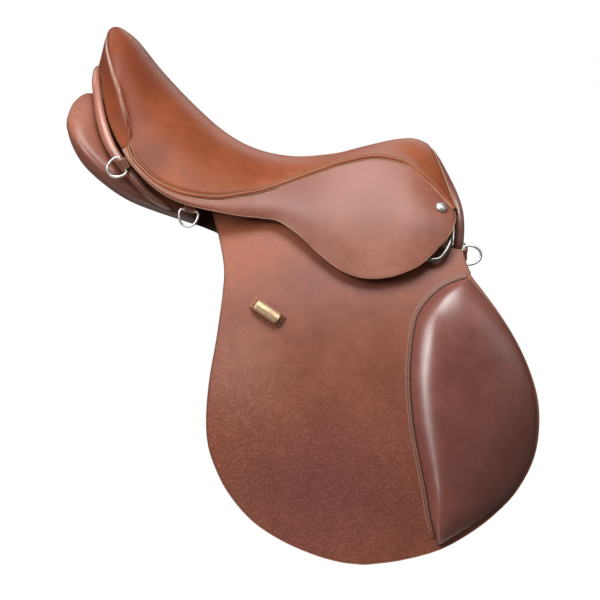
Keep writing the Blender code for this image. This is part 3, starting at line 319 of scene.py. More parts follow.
CANTLE_RIDGE = [
    (-0.2255, 0.000, 0.2220), (-0.2225, 0.020, 0.2160), (-0.218, 0.040, 0.204), (-0.206, 0.070, 0.184),
    (-0.192, 0.092, 0.162), (-0.179, 0.106, 0.145), (-0.1675, 0.1145, 0.129), (-0.1625, 0.1190, 0.1150),
    (-0.1635, 0.1210, 0.1040), (-0.1660, 0.1215, 0.0975),
]
CANTLE_FOOT = [
    (-0.2270, 0.000, 0.1870), (-0.2255, 0.020, 0.1810), (-0.219, 0.040, 0.170), (-0.210, 0.066, 0.151),
    (-0.196, 0.090, 0.123), (-0.181, 0.108, 0.103), (-0.1725, 0.1150, 0.0940),
]
CANTLE_CROWN = 0.0055
CROWN_LIFT = 0.001
RIDGE_STATION = 19
LAST_STATION = 20
CUT_EDGE = 0.0006
# The rounds of a cut edge: how deep through the sheet, how far back of the edge's front in rims, and the
# number that the finish reads there as edge.
EDGE_ROUNDS = ((0.15, 0.35, -0.0003), (0.5, 0.0, -0.001), (0.85, 0.35, -0.0003))
NEVER_ZERO = 1e-12


def even(count, start=0.0, end=1.0):
    """Evenly spaced numbers from start to end."""
    return [start + (end - start) * i / (count - 1) for i in range(count)]


def smooth_between(values, t):
    """Smooth value between the middle two of four."""
    before, here, after, beyond = values
    spot = here * (2 * t**3 - 3 * t**2 + 1) + (after - before) * ((t**3 - 2 * t**2 + t) / 2)
    return spot + after * (-2 * t**3 + 3 * t**2) + (beyond - here) * ((t**3 - t**2) / 2)


def curve_at(points, fraction):
    """Point at a fraction of the chord length of the smooth curve through the points."""
    spots = [Vector(p) for p in points]
    lengths = [0.0]
    for start, end in zip(spots, spots[1:]):
        lengths.append(lengths[-1] + (end - start).length)
    target = min(max(fraction, 0.0), 1.0) * lengths[-1]
    i = 0
    while i < len(spots) - 2 and lengths[i + 1] < target:
        i += 1
    span = lengths[i + 1] - lengths[i]
    t = (target - lengths[i]) / span

    def slope(k):
        """Direction of the curve at one of its points."""
        low = max(k - 1, 0)
        high = min(k + 1, len(spots) - 1)
        return (spots[high] - spots[low]) / (lengths[high] - lengths[low])

    point = spots[i] * (2 * t**3 - 3 * t**2 + 1) + slope(i) * ((t**3 - 2 * t**2 + t) * span)
    return point + spots[i + 1] * (-2 * t**3 + 3 * t**2) + slope(i + 1) * ((t**3 - t**2) * span)


def seat_line(row, share):
    """Point on the left half of one line of the seat: its table, then the cantle's crown, ridge and foot."""
    row = min(max(row, 0), LAST_STATION)
    if row >= RIDGE_STATION:
        return curve_at(CANTLE_RIDGE if row == RIDGE_STATION else CANTLE_FOOT, share)
    if row > RIDGE_STATION - 2:
        before = seat_line(row - 1, share)
        after = seat_line(row + 1, share)
        crown = Vector((after.z - before.z, 0.0, before.x - after.x)).normalized()
        return (before + after) / 2 + crown * (CANTLE_CROWN * (1 - share**2) + CROWN_LIFT)
    centre_x, centre_z, edge_x, edge_y, edge_z, fore, fall = SEAT_STATIONS[row]
    x = centre_x + (edge_x - centre_x) * share**fore
    z = centre_z + (edge_z - centre_z) * share**fall
    return Vector((x, edge_y * share, z))


def between_lines(lines, station):
    """Point at a station between the lines of one share of the seat's width."""
    low = int(min(max(math.floor(station), 0), LAST_STATION - 1))
    near = [lines[min(max(low + k, 0), LAST_STATION)] for k in (-1, 0, 1, 2)]
    return smooth_between(near, station - low)


def seat_grid(stations, places):
    """Points of the seat's top for each station and each place across, from -1 to 1."""
    grid = np.zeros((len(stations), len(places), 3))
    for j, place in enumerate(places):
        lines = [seat_line(row, abs(place)) for row in range(LAST_STATION + 1)]
        for i, station in enumerate(stations):
            point = between_lines(lines, station)
            grid[i, j] = (point.x, math.copysign(point.y, place), point.z)
    return grid


def upward_normals(grid):
    """Unit normals of a grid of points, up from its middle."""
    normals = np.cross(np.gradient(grid, axis=1), np.gradient(grid, axis=0))
    normals /= np.linalg.norm(normals, axis=2, keepdims=True)
    return normals * np.sign(normals[len(grid) // 2, grid.shape[1] // 2, 2])


def mesh_piece(name, points, faces, finish, side=1.0, **numbers):
    """Smooth piece from points and faces, mirrored for its side, with a number stored at each point."""
    placed = np.array(points, dtype=float) * (1.0, side, 1.0)
    mesh = bpy.data.meshes.new(name)
    mesh.from_pydata(placed.tolist(), [], [list(f) for f in faces])
    turned = bmesh.new()
    turned.from_mesh(mesh)
    bmesh.ops.recalc_face_normals(turned, faces=turned.faces[:])
    turned.to_mesh(mesh)
    turned.free()
    mesh.shade_smooth()
    mesh.materials.append(finish.material)
    for key, values in numbers.items():
        mesh.attributes.new(key, "FLOAT", "POINT").data.foreach_set("value", np.array(values, dtype=float))
    made = bpy.data.objects.new(name, mesh)
    bpy.context.scene.collection.objects.link(made)
    return made


def distance_to(points, line):
    """Distance of each point to a closed line of points."""
    steps = np.roll(line, -1, axis=0) - line
    squares = (steps**2).sum(axis=1) + NEVER_ZERO
    nearest = np.full(len(points), 1.0)
    for start, step, square in zip(line, steps, squares):
        t = np.clip(((points - start) @ step) / square, 0.0, 1.0)
        nearest = np.minimum(nearest, np.linalg.norm(points - start - t[:, None] * step, axis=1))
    return nearest


def sheet_piece(name, outer, inner, side, finish, rim=CUT_EDGE):
    """Closed sheet between two grids, its cut edge rounded; edge is the distance to that edge."""
    outer = np.array(outer, dtype=float)
    inner = np.array(inner, dtype=float)
    rows, columns = outer.shape[:2]
    loop = [(0, j) for j in range(columns)] + [(i, columns - 1) for i in range(1, rows)]
    loop += [(rows - 1, j) for j in range(columns - 2, -1, -1)] + [(i, 0) for i in range(rows - 2, 0, -1)]
    at = tuple(np.array(loop).T)
    inside = tuple(np.array([(min(max(i, 1), rows - 2), min(max(j, 1), columns - 2)) for i, j in loop]).T)
    middle = (outer + inner) / 2
    away = middle[at] - middle[inside]
    away /= np.linalg.norm(away, axis=1, keepdims=True) + NEVER_ZERO
    high = outer[at].copy()
    low = inner[at].copy()
    outer[at] -= away * rim
    inner[at] -= away * rim
    rounds = [high * (1 - t) + low * t - away * rim * back for t, back, _ in EDGE_ROUNDS]
    size = rows * columns
    count = len(loop)
    gap = distance_to(outer.reshape(-1, 3), high)
    points = np.concatenate([outer.reshape(-1, 3), inner.reshape(-1, 3), *rounds])
    edge = np.concatenate([gap, gap, *[np.full(count, number) for _, _, number in EDGE_ROUNDS]])
    faces = []
    for i in range(rows - 1):
        for j in range(columns - 1):
            a = i * columns + j
            faces.append((a, a + columns, a + columns + 1, a + 1))
            faces.append((size + a, size + a + 1, size + a + columns + 1, size + a + columns))
    top = [i * columns + j for i, j in loop]
    middles = [[2 * size + n * count + k for k in range(count)] for n in range(len(EDGE_ROUNDS))]
    strips = [top, *middles, [size + k for k in top]]
    for one, two in zip(strips, strips[1:]):
        for k in range(count):
            m = (k + 1) % count
            faces.append((one[k], one[m], two[m], two[k]))
    return mesh_piece(name, points, faces, finish, side, edge=edge)


open_cell = Finish("open_cell_foam", 0.95)
bubbles = open_cell.cells(700.0)
open_cell.put("Base Color", open_cell.mix(bubbles, (0.50, 0.45, 0.30), (0.82, 0.78, 0.62)))
open_cell.bump(bubbles, 0.0004, 0.8)
foam_grid = seat_grid(even(60, FOAM_FIRST_STATION, FOAM_LAST_STATION), even(41, -FOAM_SHARE, FOAM_SHARE))
foam_normals = upward_normals(foam_grid)
foam_near = COVER_THICKNESS + FOAM_GAP
foam_outer = foam_grid - foam_normals * foam_near
foam_inner = foam_grid - foam_normals * (foam_near + FOAM_THICKNESS)
foam = sheet_piece("seat_foam_pad", foam_outer, foam_inner, 1.0, open_cell, rim=0.002)
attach(foam, "saddle")
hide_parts("seat_foam")

# Seat
# Soft calf hide drawn over the foam and the cantle in one piece, blocked wet so that it lies close, with
# a full rim round the cantle's top. Warm orange-brown, with painted shade that darkens it at the cantle's
# rim, at its foot and beside the welt, and a painted highlight along the cantle's crest.

EDGE_TAN = (0.36, 0.15, 0.075)
SCUFFED_FROM = -0.03
SCUFFED_BELOW = -0.20
LEATHER_RELIEF = 0.00022
CREST_FROM = 17.0
CREST_OVER = 0.6
CREST_PASSES = 5
# The painted highlight along the cantle's ridge: its width, where it has faded out across, how far it fades,
# and its colour.
CREST_WIDTH = 0.0022
CREST_HIGHLIGHT_TO = 0.114
CREST_FADE = 0.035
CREST_HIGHLIGHT_COLOR = (0.88, 0.62, 0.52)
FLANK_FROM = 15.5
FLANK_OVER = 1.5
FLANK_SHARE = 0.62
FLANK_SHARE_OVER = 0.25
FLANK_PASSES = 90
PULL_TO_MIDDLE = 0.5
EDGE_SHARE = 0.999
CROWDED_TO_EDGE = 0.92


def leather(
        name, dark, light, roughness, grain=0.5, low_grain=0.0, coat=0.0, edge=EDGE_TAN, specular=0.5,
        painted_light_patches=()):
    """Dyed hide: clouded colour, fine pores, uneven polish, and a painted cut edge. The low grain is the
    open, scuffed grain at the bottom of a flap. A patch is painted light, either painted shade or a painted
    highlight laid over the dye: its x and z, its radius, its colour and how strong it is."""
    hide = Finish(name, roughness, coat=coat, specular=specular)
    cloud = hide.noise(11.0, 4.0, 0.6)
    mottle = hide.noise(85.0, 4.0, 0.65)
    pores = hide.cells(760.0)
    creases = hide.noise(520.0, 3.0, 0.7, stretch=(1.0, 1.0, 0.6))
    tone = hide.mix(cloud.ramp(0.30, 0.70), dark, light)
    # Painted shade and painted highlights, each a soft round patch.
    for x, z, radius, color, strength in painted_light_patches:
        tone = hide.mix(hide.near(x, z, radius) * strength, tone, color)
    shadow = tuple(c * 0.55 for c in dark)
    tone = hide.mix(mottle.ramp(0.62, 0.30) * 0.22, tone, shadow)
    texture = pores * 0.6 + creases
    amount = grain
    if low_grain:
        low = hide.height().ramp(SCUFFED_FROM, SCUFFED_BELOW)
        amount = low * low_grain + grain
        pebble = hide.cells(330.0).ramp(0.10, 0.62)
        texture = texture + pebble * low * -1.6
        tone = hide.mix(pebble * low * 0.45, tone, shadow)
        scuffs = hide.noise(300.0, 6.0, 0.8).ramp(0.52, 0.72) * low
        tone = hide.mix(scuffs * 0.22, tone, tuple(min(c * 1.9 + 0.03, 1.0) for c in light))
    tone = hide.mix(pores.ramp(0.25, 0.0) * amount * 0.25, tone, shadow)
    rim = hide.mask("edge")
    tone = hide.mix(rim.ramp(0.0040, 0.0010) * 0.35, tone, shadow)
    tone = hide.mix(rim.ramp(0.0014, 0.0006), tone, edge)
    hide.put("Base Color", tone)
    hide.put("Roughness", mottle * 0.16 + cloud * 0.10 + (roughness - 0.13))
    hide.bump(texture * amount + mottle * 0.8, LEATHER_RELIEF, 0.55)
    return hide


# Its patches are painted shade: darker at the cantle's rim, beside the rear roll at the cantle's foot, and
# along the flank near the welt.
seat_hide = leather(
    "seat_calf", (0.248, 0.057, 0.020), (0.330, 0.086, 0.031), 0.42, grain=0.25, specular=0.24,
    painted_light_patches=[
        (-0.220, 0.200, 0.100, (0.175, 0.036, 0.013), 0.75),
        (-0.160, 0.190, 0.065, (0.165, 0.033, 0.011), 0.65),
        (-0.070, 0.050, 0.050, (0.250, 0.060, 0.022), 0.5),
        (-0.173, 0.128, 0.034, (0.185, 0.046, 0.022), 0.8),
        (-0.142, 0.090, 0.040, (0.150, 0.037, 0.017), 0.7)])
cover_stations = even(86, 0.0, CREST_FROM) + even(31, CREST_FROM, LAST_STATION)[1:]
cover_places = [math.copysign(abs(t) ** CROWDED_TO_EDGE, t) for t in even(81, -1.0, 1.0)]
cover_top = seat_grid(cover_stations, cover_places)
stations = np.array(cover_stations)[:, None]
shares = np.abs(np.array(cover_places))[None, :]
inward = shares < EDGE_SHARE
crest = np.clip((stations - CREST_FROM) / CREST_OVER, 0.0, 1.0) * PULL_TO_MIDDLE * inward
flank = np.clip((stations - FLANK_FROM) / FLANK_OVER, 0.0, 1.0)
flank = flank * np.clip((shares - FLANK_SHARE) / FLANK_SHARE_OVER, 0.0, 1.0) * PULL_TO_MIDDLE * inward
for weight, passes in ((crest, CREST_PASSES), (flank, FLANK_PASSES)):
    for _ in range(passes):
        middle = (cover_top[:-2] + cover_top[2:]) / 2
        cover_top[1:-1] += (middle - cover_top[1:-1]) * weight[1:-1, :, None]
cover_under = cover_top - upward_normals(cover_top) * COVER_THICKNESS
cover = sheet_piece("seat_hide", cover_top, cover_under, 1.0, seat_hide)
# Painted highlight along the cantle's ridge: pale colour in a narrow band round the ridge line, faded towards
# the sides and broken up by noise.
ridge_row = min(range(len(cover_stations)), key=lambda i: abs(cover_stations[i] - RIDGE_STATION))
ridge_line = cover_top[ridge_row]
spots = np.array([tuple(v.co) for v in cover.data.vertices])
ridge_gap = np.min(np.linalg.norm(spots[:, None, :] - ridge_line[None, :, :], axis=2), axis=1)
crest_highlight = np.exp(-((ridge_gap / CREST_WIDTH) ** 2))
crest_highlight *= np.clip((CREST_HIGHLIGHT_TO - np.abs(spots[:, 1])) / CREST_FADE, 0.0, 1.0)
cover.data.attributes.new("crest_highlight", "FLOAT", "POINT").data.foreach_set("value", crest_highlight)
dye_and_painted_shade = Reading(seat_hide.tree, seat_hide.shader.inputs["Base Color"].links[0].from_socket)
highlight_breakup = seat_hide.noise(60.0, 3.0, 0.6).ramp(0.25, 0.60) * 0.4 + 0.6
seat_hide.put("Base Color", seat_hide.mix(seat_hide.mask("crest_highlight") * highlight_breakup, dye_and_painted_shade, CREST_HIGHLIGHT_COLOR))
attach(cover, "saddle")
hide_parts("seat_cover")

# Welts
# Two thin cords, each wrapped in a narrow strip of pale leather, sewn in side by side where each skirt
# meets the seat. A strip of the seat's own hide lies between them.

WELT_RADIUS = 0.0016
WELT_GAP = 0.0006
CORD_RADIUS = 0.0008
CORD_OFFSET = 0.0011
CORD_SIDES = 10
STRIP_SIDES = 12
WELT_LOOPS = 190
WELT_LAST_STATION = 17.0
FRACTION_STEP = 0.01
STATION_STEP = 0.02
SKIRT_THICKNESS = 0.0034
SKIRT_EDGE = [
    (0.2085, 0.104, 0.096), (0.210, 0.118, 0.085), (0.205, 0.131, 0.067), (0.193, 0.141, 0.048),
    (0.179, 0.1485, 0.030), (0.164, 0.1525, 0.019), (0.149, 0.154, 0.011), (0.133, 0.154, 0.006),
    (0.116, 0.153, 0.004), (0.093, 0.149, 0.008), (0.068, 0.141, 0.020), (0.042, 0.132, 0.036),
    (0.023, 0.125, 0.045), (0.011, 0.122, 0.048), (-0.005, 0.122, 0.047), (-0.028, 0.127, 0.045),
    (-0.056, 0.133, 0.045), (-0.084, 0.138, 0.046), (-0.108, 0.138, 0.050), (-0.133, 0.135, 0.061),
    (-0.157, 0.129, 0.078), (-0.171, 0.123, 0.093),
]
edge_lines = [seat_line(row, 1.0) for row in range(LAST_STATION + 1)]
near_lines = [seat_line(row, 0.98) for row in range(LAST_STATION + 1)]


def seat_edge(fraction):
    """Point of the seat's edge at a fraction of the skirt's length, from the pommel back."""
    return between_lines(edge_lines, min(max(fraction, 0.0), 1.0) * WELT_LAST_STATION)


def welt_seat(fraction):
    """Middle of the welt beside the seat's edge, and the direction square to it in which the skirt leaves."""
    start = seat_edge(fraction)
    along = (seat_edge(fraction + FRACTION_STEP) - seat_edge(fraction - FRACTION_STEP)).normalized()
    fall = curve_at(SKIRT_EDGE, fraction) - start
    fall = (fall - along * fall.dot(along)).normalized()
    station = fraction * WELT_LAST_STATION
    onward = between_lines(edge_lines, min(station + STATION_STEP, LAST_STATION))
    onward = onward - between_lines(edge_lines, max(station - STATION_STEP, 0.0))
    sideways = start - between_lines(near_lines, station)
    normal = onward.cross(sideways).normalized() * -1.0
    lean = max(-normal.dot(fall), 0.0)
    return start + fall * (WELT_RADIUS + WELT_GAP + lean * COVER_THICKNESS), fall


def skirt_reach(fall):
    """How far from the welt's middle the skirt's face starts."""
    return WELT_RADIUS + WELT_GAP + max(fall.y, 0.0) * SKIRT_THICKNESS


def tube_loops(path, radius, sides, closed=False):
    """Loops of a round section along a path; radius is one number or one for each point."""
    loops = []
    count = len(path)
    out = None
    for k, spot in enumerate(path):
        if closed:
            along = (Vector(path[(k + 1) % count]) - Vector(path[k - 1])).normalized()
        else:
            along = (Vector(path[min(k + 1, count - 1)]) - Vector(path[max(k - 1, 0)])).normalized()
        if out is None:
            out = along.orthogonal().normalized()
        out = (out - along * out.dot(along)).normalized()
        across = along.cross(out)
        size = radius[k] if isinstance(radius, list) else radius
        turns = [2 * math.pi * n / sides for n in range(sides)]
        loops.append([Vector(spot) + (out * math.cos(t) + across * math.sin(t)) * size for t in turns])
    return loops


def loft_piece(name, loops, side, finish, closed=False, **numbers):
    """Closed piece through loops of points, with rounded ends unless it joins up."""
    count = len(loops[0])
    points = [tuple(p) for loop in loops for p in loop]
    total = len(loops)
    faces = []
    for n in range(total if closed else total - 1):
        for k in range(count):
            m = (k + 1) % count
            a = n * count
            b = (n + 1) % total * count
            faces.append((a + k, a + m, b + m, b + k))
    if not closed:
        for n in (0, total - 1):
            middle = np.mean([tuple(p) for p in loops[n]], axis=0)
            points.append(tuple(middle))
            for k in range(count):
                faces.append((n * count + k, n * count + (k + 1) % count, len(points) - 1))
    return mesh_piece(name, points, faces, finish, side, **numbers)


def uncut(loops):
    """Edge numbers of a piece through loops that shows no cut edge: each point is far from one."""
    return [1.0] * (len(loops) * len(loops[0]) + 2)


piping = Finish("piping_leather", 0.42)
twist = piping.noise(240.0, 4.0, 0.6)
piping.put("Base Color", piping.mix(twist, (0.33, 0.130, 0.066), (0.46, 0.220, 0.125)))
piping.bump(twist, 0.0002, 0.5)
welt_places = [welt_seat(f) for f in even(WELT_LOOPS)]
upper_line = [middle - fall * CORD_OFFSET for middle, fall in welt_places]
lower_line = [middle + fall * (skirt_reach(fall) - CORD_RADIUS) for middle, fall in welt_places]
strip_line = [(one + two) / 2 for one, two in zip(upper_line, lower_line)]
strip_radii = [(one - two).length / 2 for one, two in zip(upper_line, lower_line)]
strip_loops = tube_loops(strip_line, strip_radii, STRIP_SIDES)
for name, side in SIDES:
    for cord, line in (("upper", upper_line), ("lower", lower_line)):
        cord_loops = tube_loops(line, CORD_RADIUS, CORD_SIDES)
        welt = loft_piece("welt_" + cord + "_" + name, cord_loops, side, piping)
        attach(welt, "saddle")
    strip = loft_piece("welt_strip_" + name, strip_loops, side, seat_hide, edge=uncut(strip_loops))
    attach(strip, "saddle")
    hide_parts("seat_welt_" + name)

# Skirts
# Stout butt leather sewn to the seat under the welt. Its front lobe is left loose over the stirrup bar.
# Polished face, pale cut edge, sewn again at its rear tip. A painted highlight lies high in its middle
# and another low on the lobe, with painted shade between them.

SKIRT_BEND = Vector((0.000, 0.1375, 0.049))
SKIRT_BEND_DOWN = Vector((0.149, 0.0, -1.0)).normalized()
SKIRT_BEND_REACH = 0.008
SKIRT_BULGE = 0.012
SKIRT_FULL_DEPTH = 0.14
SEAM_INSET = 0.0030
SEAM_NARROWEST = 0.008
SEAM_FROM = 0.80
SEAM_TO = 0.992
SEAM_WAY = Vector((1.0, 0.0, 0.3))
# A stitch from end to end: place along its half length, and its thickness there.
STITCH_PROFILE = ((-1.0, 0.3), (-0.6, 0.9), (0.0, 1.0), (0.6, 0.9), (1.0, 0.3))
STITCH_SIDES = 6
# In thicknesses: how high a stitch's middle lies, how far its ends sink, and how flat it is.
STITCH_HIGH = 0.75
STITCH_SINK = 0.8
STITCH_FLAT = 0.8


def skirt_ends(fraction):
    """Top and bottom of the skirt's face at a fraction of its length."""
    middle, fall = welt_seat(fraction)
    return middle + fall * skirt_reach(fall), curve_at(SKIRT_EDGE, fraction)


def skirt_spot(ends, drop, outward=0.0):
    """Point of the skirt's face between its ends, from the welt (0) to its own lower edge (1)."""
    point = ends[0].lerp(ends[1], drop)
    share = min((ends[1] - ends[0]).length / SKIRT_FULL_DEPTH, 1.0)
    point.y += SKIRT_BULGE * share * math.sin(math.pi * drop) + outward
    return point


def stitch_row(name, path, outward, side, finish, length=0.0021, pitch=0.0030, width=0.00042):
    """Row of thread stitches, each a small bead that rises out of the leather and goes back in."""
    path = np.array([tuple(p) for p in path])
    outward = np.array([tuple(p) for p in outward])
    reach = np.concatenate([[0.0], np.cumsum(np.linalg.norm(np.diff(path, axis=0), axis=1))])

    def at(distance, rows):
        """Values of the rows at a distance along the path."""
        return np.array([np.interp(distance, reach, rows[:, n]) for n in range(3)])

    points = []
    faces = []
    for centre in np.arange(pitch, reach[-1] - pitch / 2, pitch):
        start = at(centre - length / 2, path)
        end = at(centre + length / 2, path)
        up = at(centre, outward)
        along = (end - start) / 2
        middle = (start + end) / 2
        across = np.cross(along, up)
        across /= np.linalg.norm(across)
        up = np.cross(across, along)
        up /= np.linalg.norm(up)
        first = len(points)
        for share, size in STITCH_PROFILE:
            lift = width * (STITCH_HIGH - STITCH_SINK * share**2)
            for n in range(STITCH_SIDES):
                angle = 2 * math.pi * n / STITCH_SIDES
                ring = across * math.cos(angle) + up * math.sin(angle) * STITCH_FLAT
                points.append(middle + along * share + up * lift + ring * width * size)
        starts = [first + n * STITCH_SIDES for n in range(len(STITCH_PROFILE))]
        for one, two in zip(starts, starts[1:]):
            for k in range(STITCH_SIDES):
                m = (k + 1) % STITCH_SIDES
                faces.append((one + k, one + m, two + m, two + k))
        for last in (starts[0], starts[-1]):
            faces.append([last + k for k in range(STITCH_SIDES)])
    return mesh_piece(name, points, faces, finish, side)


# Its patches are painted light: pale painted highlights high on the skirt above the lobe and low on the lobe,
# and painted shade across its middle.
skirt_hide = leather(
    "skirt_butt", (0.238, 0.072, 0.042), (0.315, 0.103, 0.062), 0.47, grain=0.22, coat=0.06,
    edge=(0.50, 0.26, 0.15), specular=0.52,
    painted_light_patches=[
        (0.100, 0.130, 0.070, (0.350, 0.135, 0.110), 0.6),
        (0.030, 0.075, 0.070, (0.190, 0.050, 0.028), 0.75),
        (0.116, 0.078, 0.045, (0.210, 0.058, 0.034), 0.6),
        (0.140, 0.020, 0.060, (0.380, 0.150, 0.098), 0.6)])
thread = Finish("waxed_thread", 0.6)
ply = thread.noise(2600.0, 2.0)
thread.put("Base Color", thread.mix(ply, (0.46, 0.28, 0.18), (0.70, 0.50, 0.36)))
thread.bump(ply, 0.0001, 0.4)
# Rows and columns crowd towards the edges, where the hide rounds over.
skirt_drops = [0.0, 0.012, 0.03, 0.06] + even(22, 0.10, 0.93) + [0.955, 0.975, 0.99, 1.0]
skirt_fractions = [0.0, 0.002, 0.006] + even(120, 0.012, 0.988) + [0.994, 0.998, 1.0]
skirt_columns = [skirt_ends(f) for f in skirt_fractions]
skirt_outer = [[tuple(skirt_spot(ends, d)) for d in skirt_drops] for ends in skirt_columns]
skirt_inner = [[tuple(skirt_spot(ends, d, -SKIRT_THICKNESS)) for d in skirt_drops] for ends in skirt_columns]
seam_path = []
seam_outward = []
for top, bottom in [skirt_ends(f) for f in even(70, SEAM_FROM, SEAM_TO)]:
    inset = SEAM_INSET / max((bottom - top).length, SEAM_NARROWEST)
    seam_path.append(skirt_spot((top, bottom), inset))
    out = (bottom - top).cross(SEAM_WAY).normalized()
    seam_outward.append(out if out.y > 0 else -out)
start = SKIRT_BEND - SKIRT_BEND_DOWN * SKIRT_BEND_REACH
end = SKIRT_BEND + SKIRT_BEND_DOWN * SKIRT_BEND_REACH
for name, side in SIDES:
    skirt = sheet_piece("skirt_hide_" + name, skirt_outer, skirt_inner, side, skirt_hide, rim=0.0008)
    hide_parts("skirt_" + name, "skirt_lobe_" + name)
    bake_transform(skirt)
    seam = stitch_row("skirt_stitches_" + name, seam_path, seam_outward, side, thread)
    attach(seam, "saddle")

# Flaps
# One large piece of bridle butt each side. Its upper part is fixed to the tree under the skirt and the
# rest hangs from a bend. Smooth above, with open, scuffed grain below.

BEND_X = 0.104
BEND_Z = -0.009
BEND_ANGLE = math.radians(16.0)
SIDE_HALF_WIDTH = 0.1415
SIDE_LEAN = -0.060
UPPER_SLOPE = 0.53
LOWER_SLOPE = 0.23
STRAIGHT_FROM = 0.100
TURN_IN = 0.012
TURN_IN_REACH = 0.120
TURN_IN_FRONT = 0.070
TURN_IN_REAR = -0.110
TURN_IN_DEPTH = 0.200
FLAP_THICKNESS = 0.0045
FLAP_BEND_REACH = 0.010
NORMAL_STEP = 0.004
PAST_MARGINS = 1.6
# Edges of the flap as places along and down from its bend.
FLAP_REAR_EDGE = [
    (-0.1384, 0.0), (-0.1480, 0.0441), (-0.1587, 0.0861), (-0.1649, 0.1232), (-0.1659, 0.1499),
    (-0.1622, 0.1715), (-0.1495, 0.2042), (-0.1261, 0.2372), (-0.0977, 0.2602), (-0.0649, 0.2784),
    (-0.0338, 0.2904), (-0.0072, 0.2959),
]
FLAP_FRONT_EDGE = [
    (0.1390, 0.0), (0.1630, 0.0393), (0.1802, 0.0734), (0.1921, 0.1071), (0.1982, 0.1402),
    (0.1963, 0.1726), (0.1867, 0.2043), (0.1656, 0.2343), (0.1435, 0.2532), (0.1140, 0.2713),
    (0.0751, 0.2875), (0.0307, 0.2948), (-0.0072, 0.2959),
]
FLAP_TOP_REAR_EDGE = [(-0.1384, 0.0), (-0.1342, -0.0305), (-0.1376, -0.0661), (-0.1437, -0.0958)]
FLAP_TOP_FRONT_EDGE = [(0.1390, 0.0), (0.1382, -0.0044), (0.1351, -0.0156), (0.1334, -0.0290)]


def side_y(along, down):
    """Half width of the flap's inner face at a place along and down from the bend."""
    y = SIDE_HALF_WIDTH + SIDE_LEAN * along
    if down < 0:
        return y + UPPER_SLOPE * down
    curve = (UPPER_SLOPE - LOWER_SLOPE) / (2 * STRAIGHT_FROM)
    y += LOWER_SLOPE * down
    y += curve * (STRAIGHT_FROM**2 - max(STRAIGHT_FROM - down, 0.0) ** 2)
    share = min(down / TURN_IN_DEPTH, 1.0)
    past = max(along - TURN_IN_FRONT, TURN_IN_REAR - along, 0.0)
    return y - TURN_IN * share * (past / TURN_IN_REACH) ** 2


def side_spot(along, down, outward):
    """Point of the left side, outward from the flap's inner face."""
    x = BEND_X + along * math.cos(BEND_ANGLE) + down * math.sin(BEND_ANGLE)
    z = BEND_Z + along * math.sin(BEND_ANGLE) - down * math.cos(BEND_ANGLE)
    return Vector((x, side_y(along, down) + outward, z))


def from_bend(x, z):
    """Along and down from the bend of the flap for a place x, z."""
    along = (x - BEND_X) * math.cos(BEND_ANGLE) + (z - BEND_Z) * math.sin(BEND_ANGLE)
    down = (x - BEND_X) * math.sin(BEND_ANGLE) - (z - BEND_Z) * math.cos(BEND_ANGLE)
    return along, down


def side_normal(along, down):
    """Outward normal of the side surface."""
    one = side_spot(along + NORMAL_STEP, down, 0.0) - side_spot(along - NORMAL_STEP, down, 0.0)
    two = side_spot(along, down + NORMAL_STEP, 0.0) - side_spot(along, down - NORMAL_STEP, 0.0)
    normal = one.cross(two).normalized()
    return normal if normal.y > 0 else -normal


def rows_between(rear, front, fractions, columns):
    """Grid of places between a rear and a front edge curve, at the same fraction of both."""
    grid = []
    for fraction in fractions:
        start = curve_at(rear, fraction)
        end = curve_at(front, fraction)
        grid.append([start.lerp(end, t) for t in columns])
    return grid


def near_edges(count, margins):
    """Shares from 0 to 1, crowded at both ends."""
    first = margins[-1] * PAST_MARGINS
    return [0.0, *margins, *even(count, first, 1 - first), *[1 - m for m in reversed(margins)], 1.0]


def side_sheet(name, grid, outer, inner, side, finish, rim):
    """Sheet on the side surface between two distances from the flap's inner face."""
    top = [[tuple(side_spot(p[0], p[1], outer)) for p in row] for row in grid]
    under = [[tuple(side_spot(p[0], p[1], inner)) for p in row] for row in grid]
    return sheet_piece(name, top, under, side, finish, rim)


# Its patches are painted light: warm painted light at the upper and lower rear, a pale painted highlight in
# the middle, painted shade low at the front, and a painted shadow under the skirt's lobe.
flap_hide = leather(
    "flap_butt", (0.215, 0.062, 0.035), (0.305, 0.094, 0.054), 0.46, grain=0.16, low_grain=0.85, coat=0.04,
    specular=0.38,
    painted_light_patches=[
        (-0.035, 0.020, 0.100, (0.400, 0.110, 0.045), 0.7),
        (0.000, -0.120, 0.080, (0.360, 0.150, 0.105), 0.6),
        (-0.030, -0.200, 0.070, (0.300, 0.070, 0.030), 0.6),
        (0.120, -0.225, 0.110, (0.185, 0.046, 0.046), 0.6),
        # Painted shadow cast by the skirt's lobe on the flap below it.
        (0.128, 0.012, 0.040, (0.085, 0.025, 0.016), 0.55)])
flap_columns = near_edges(56, [0.002, 0.005, 0.009, 0.014, 0.02])
flap_rows = rows_between(FLAP_TOP_REAR_EDGE, FLAP_TOP_FRONT_EDGE, even(20, 1.0, 0.05), flap_columns)
flap_fractions = even(86, 0.0, 0.95) + [0.962, 0.972, 0.98, 0.986, 0.991, 0.995]
flap_rows += rows_between(FLAP_REAR_EDGE, FLAP_FRONT_EDGE, flap_fractions, flap_columns)
start = side_spot(0.0, -FLAP_BEND_REACH, FLAP_THICKNESS)
end = side_spot(0.0, FLAP_BEND_REACH, FLAP_THICKNESS)
for name, side in SIDES:
    flap = side_sheet("flap_hide_" + name, flap_rows, FLAP_THICKNESS, 0.0, side, flap_hide, rim=0.0010)
    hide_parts("flap_top_" + name, "flap_" + name)
    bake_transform(flap)

# Knee pads
# Felt and foam under smooth calf, full and rolled over at the rear edge, where a cord is laid in and two
# rows of stitches hold it to the flap, and skived away to the flap's front edge.

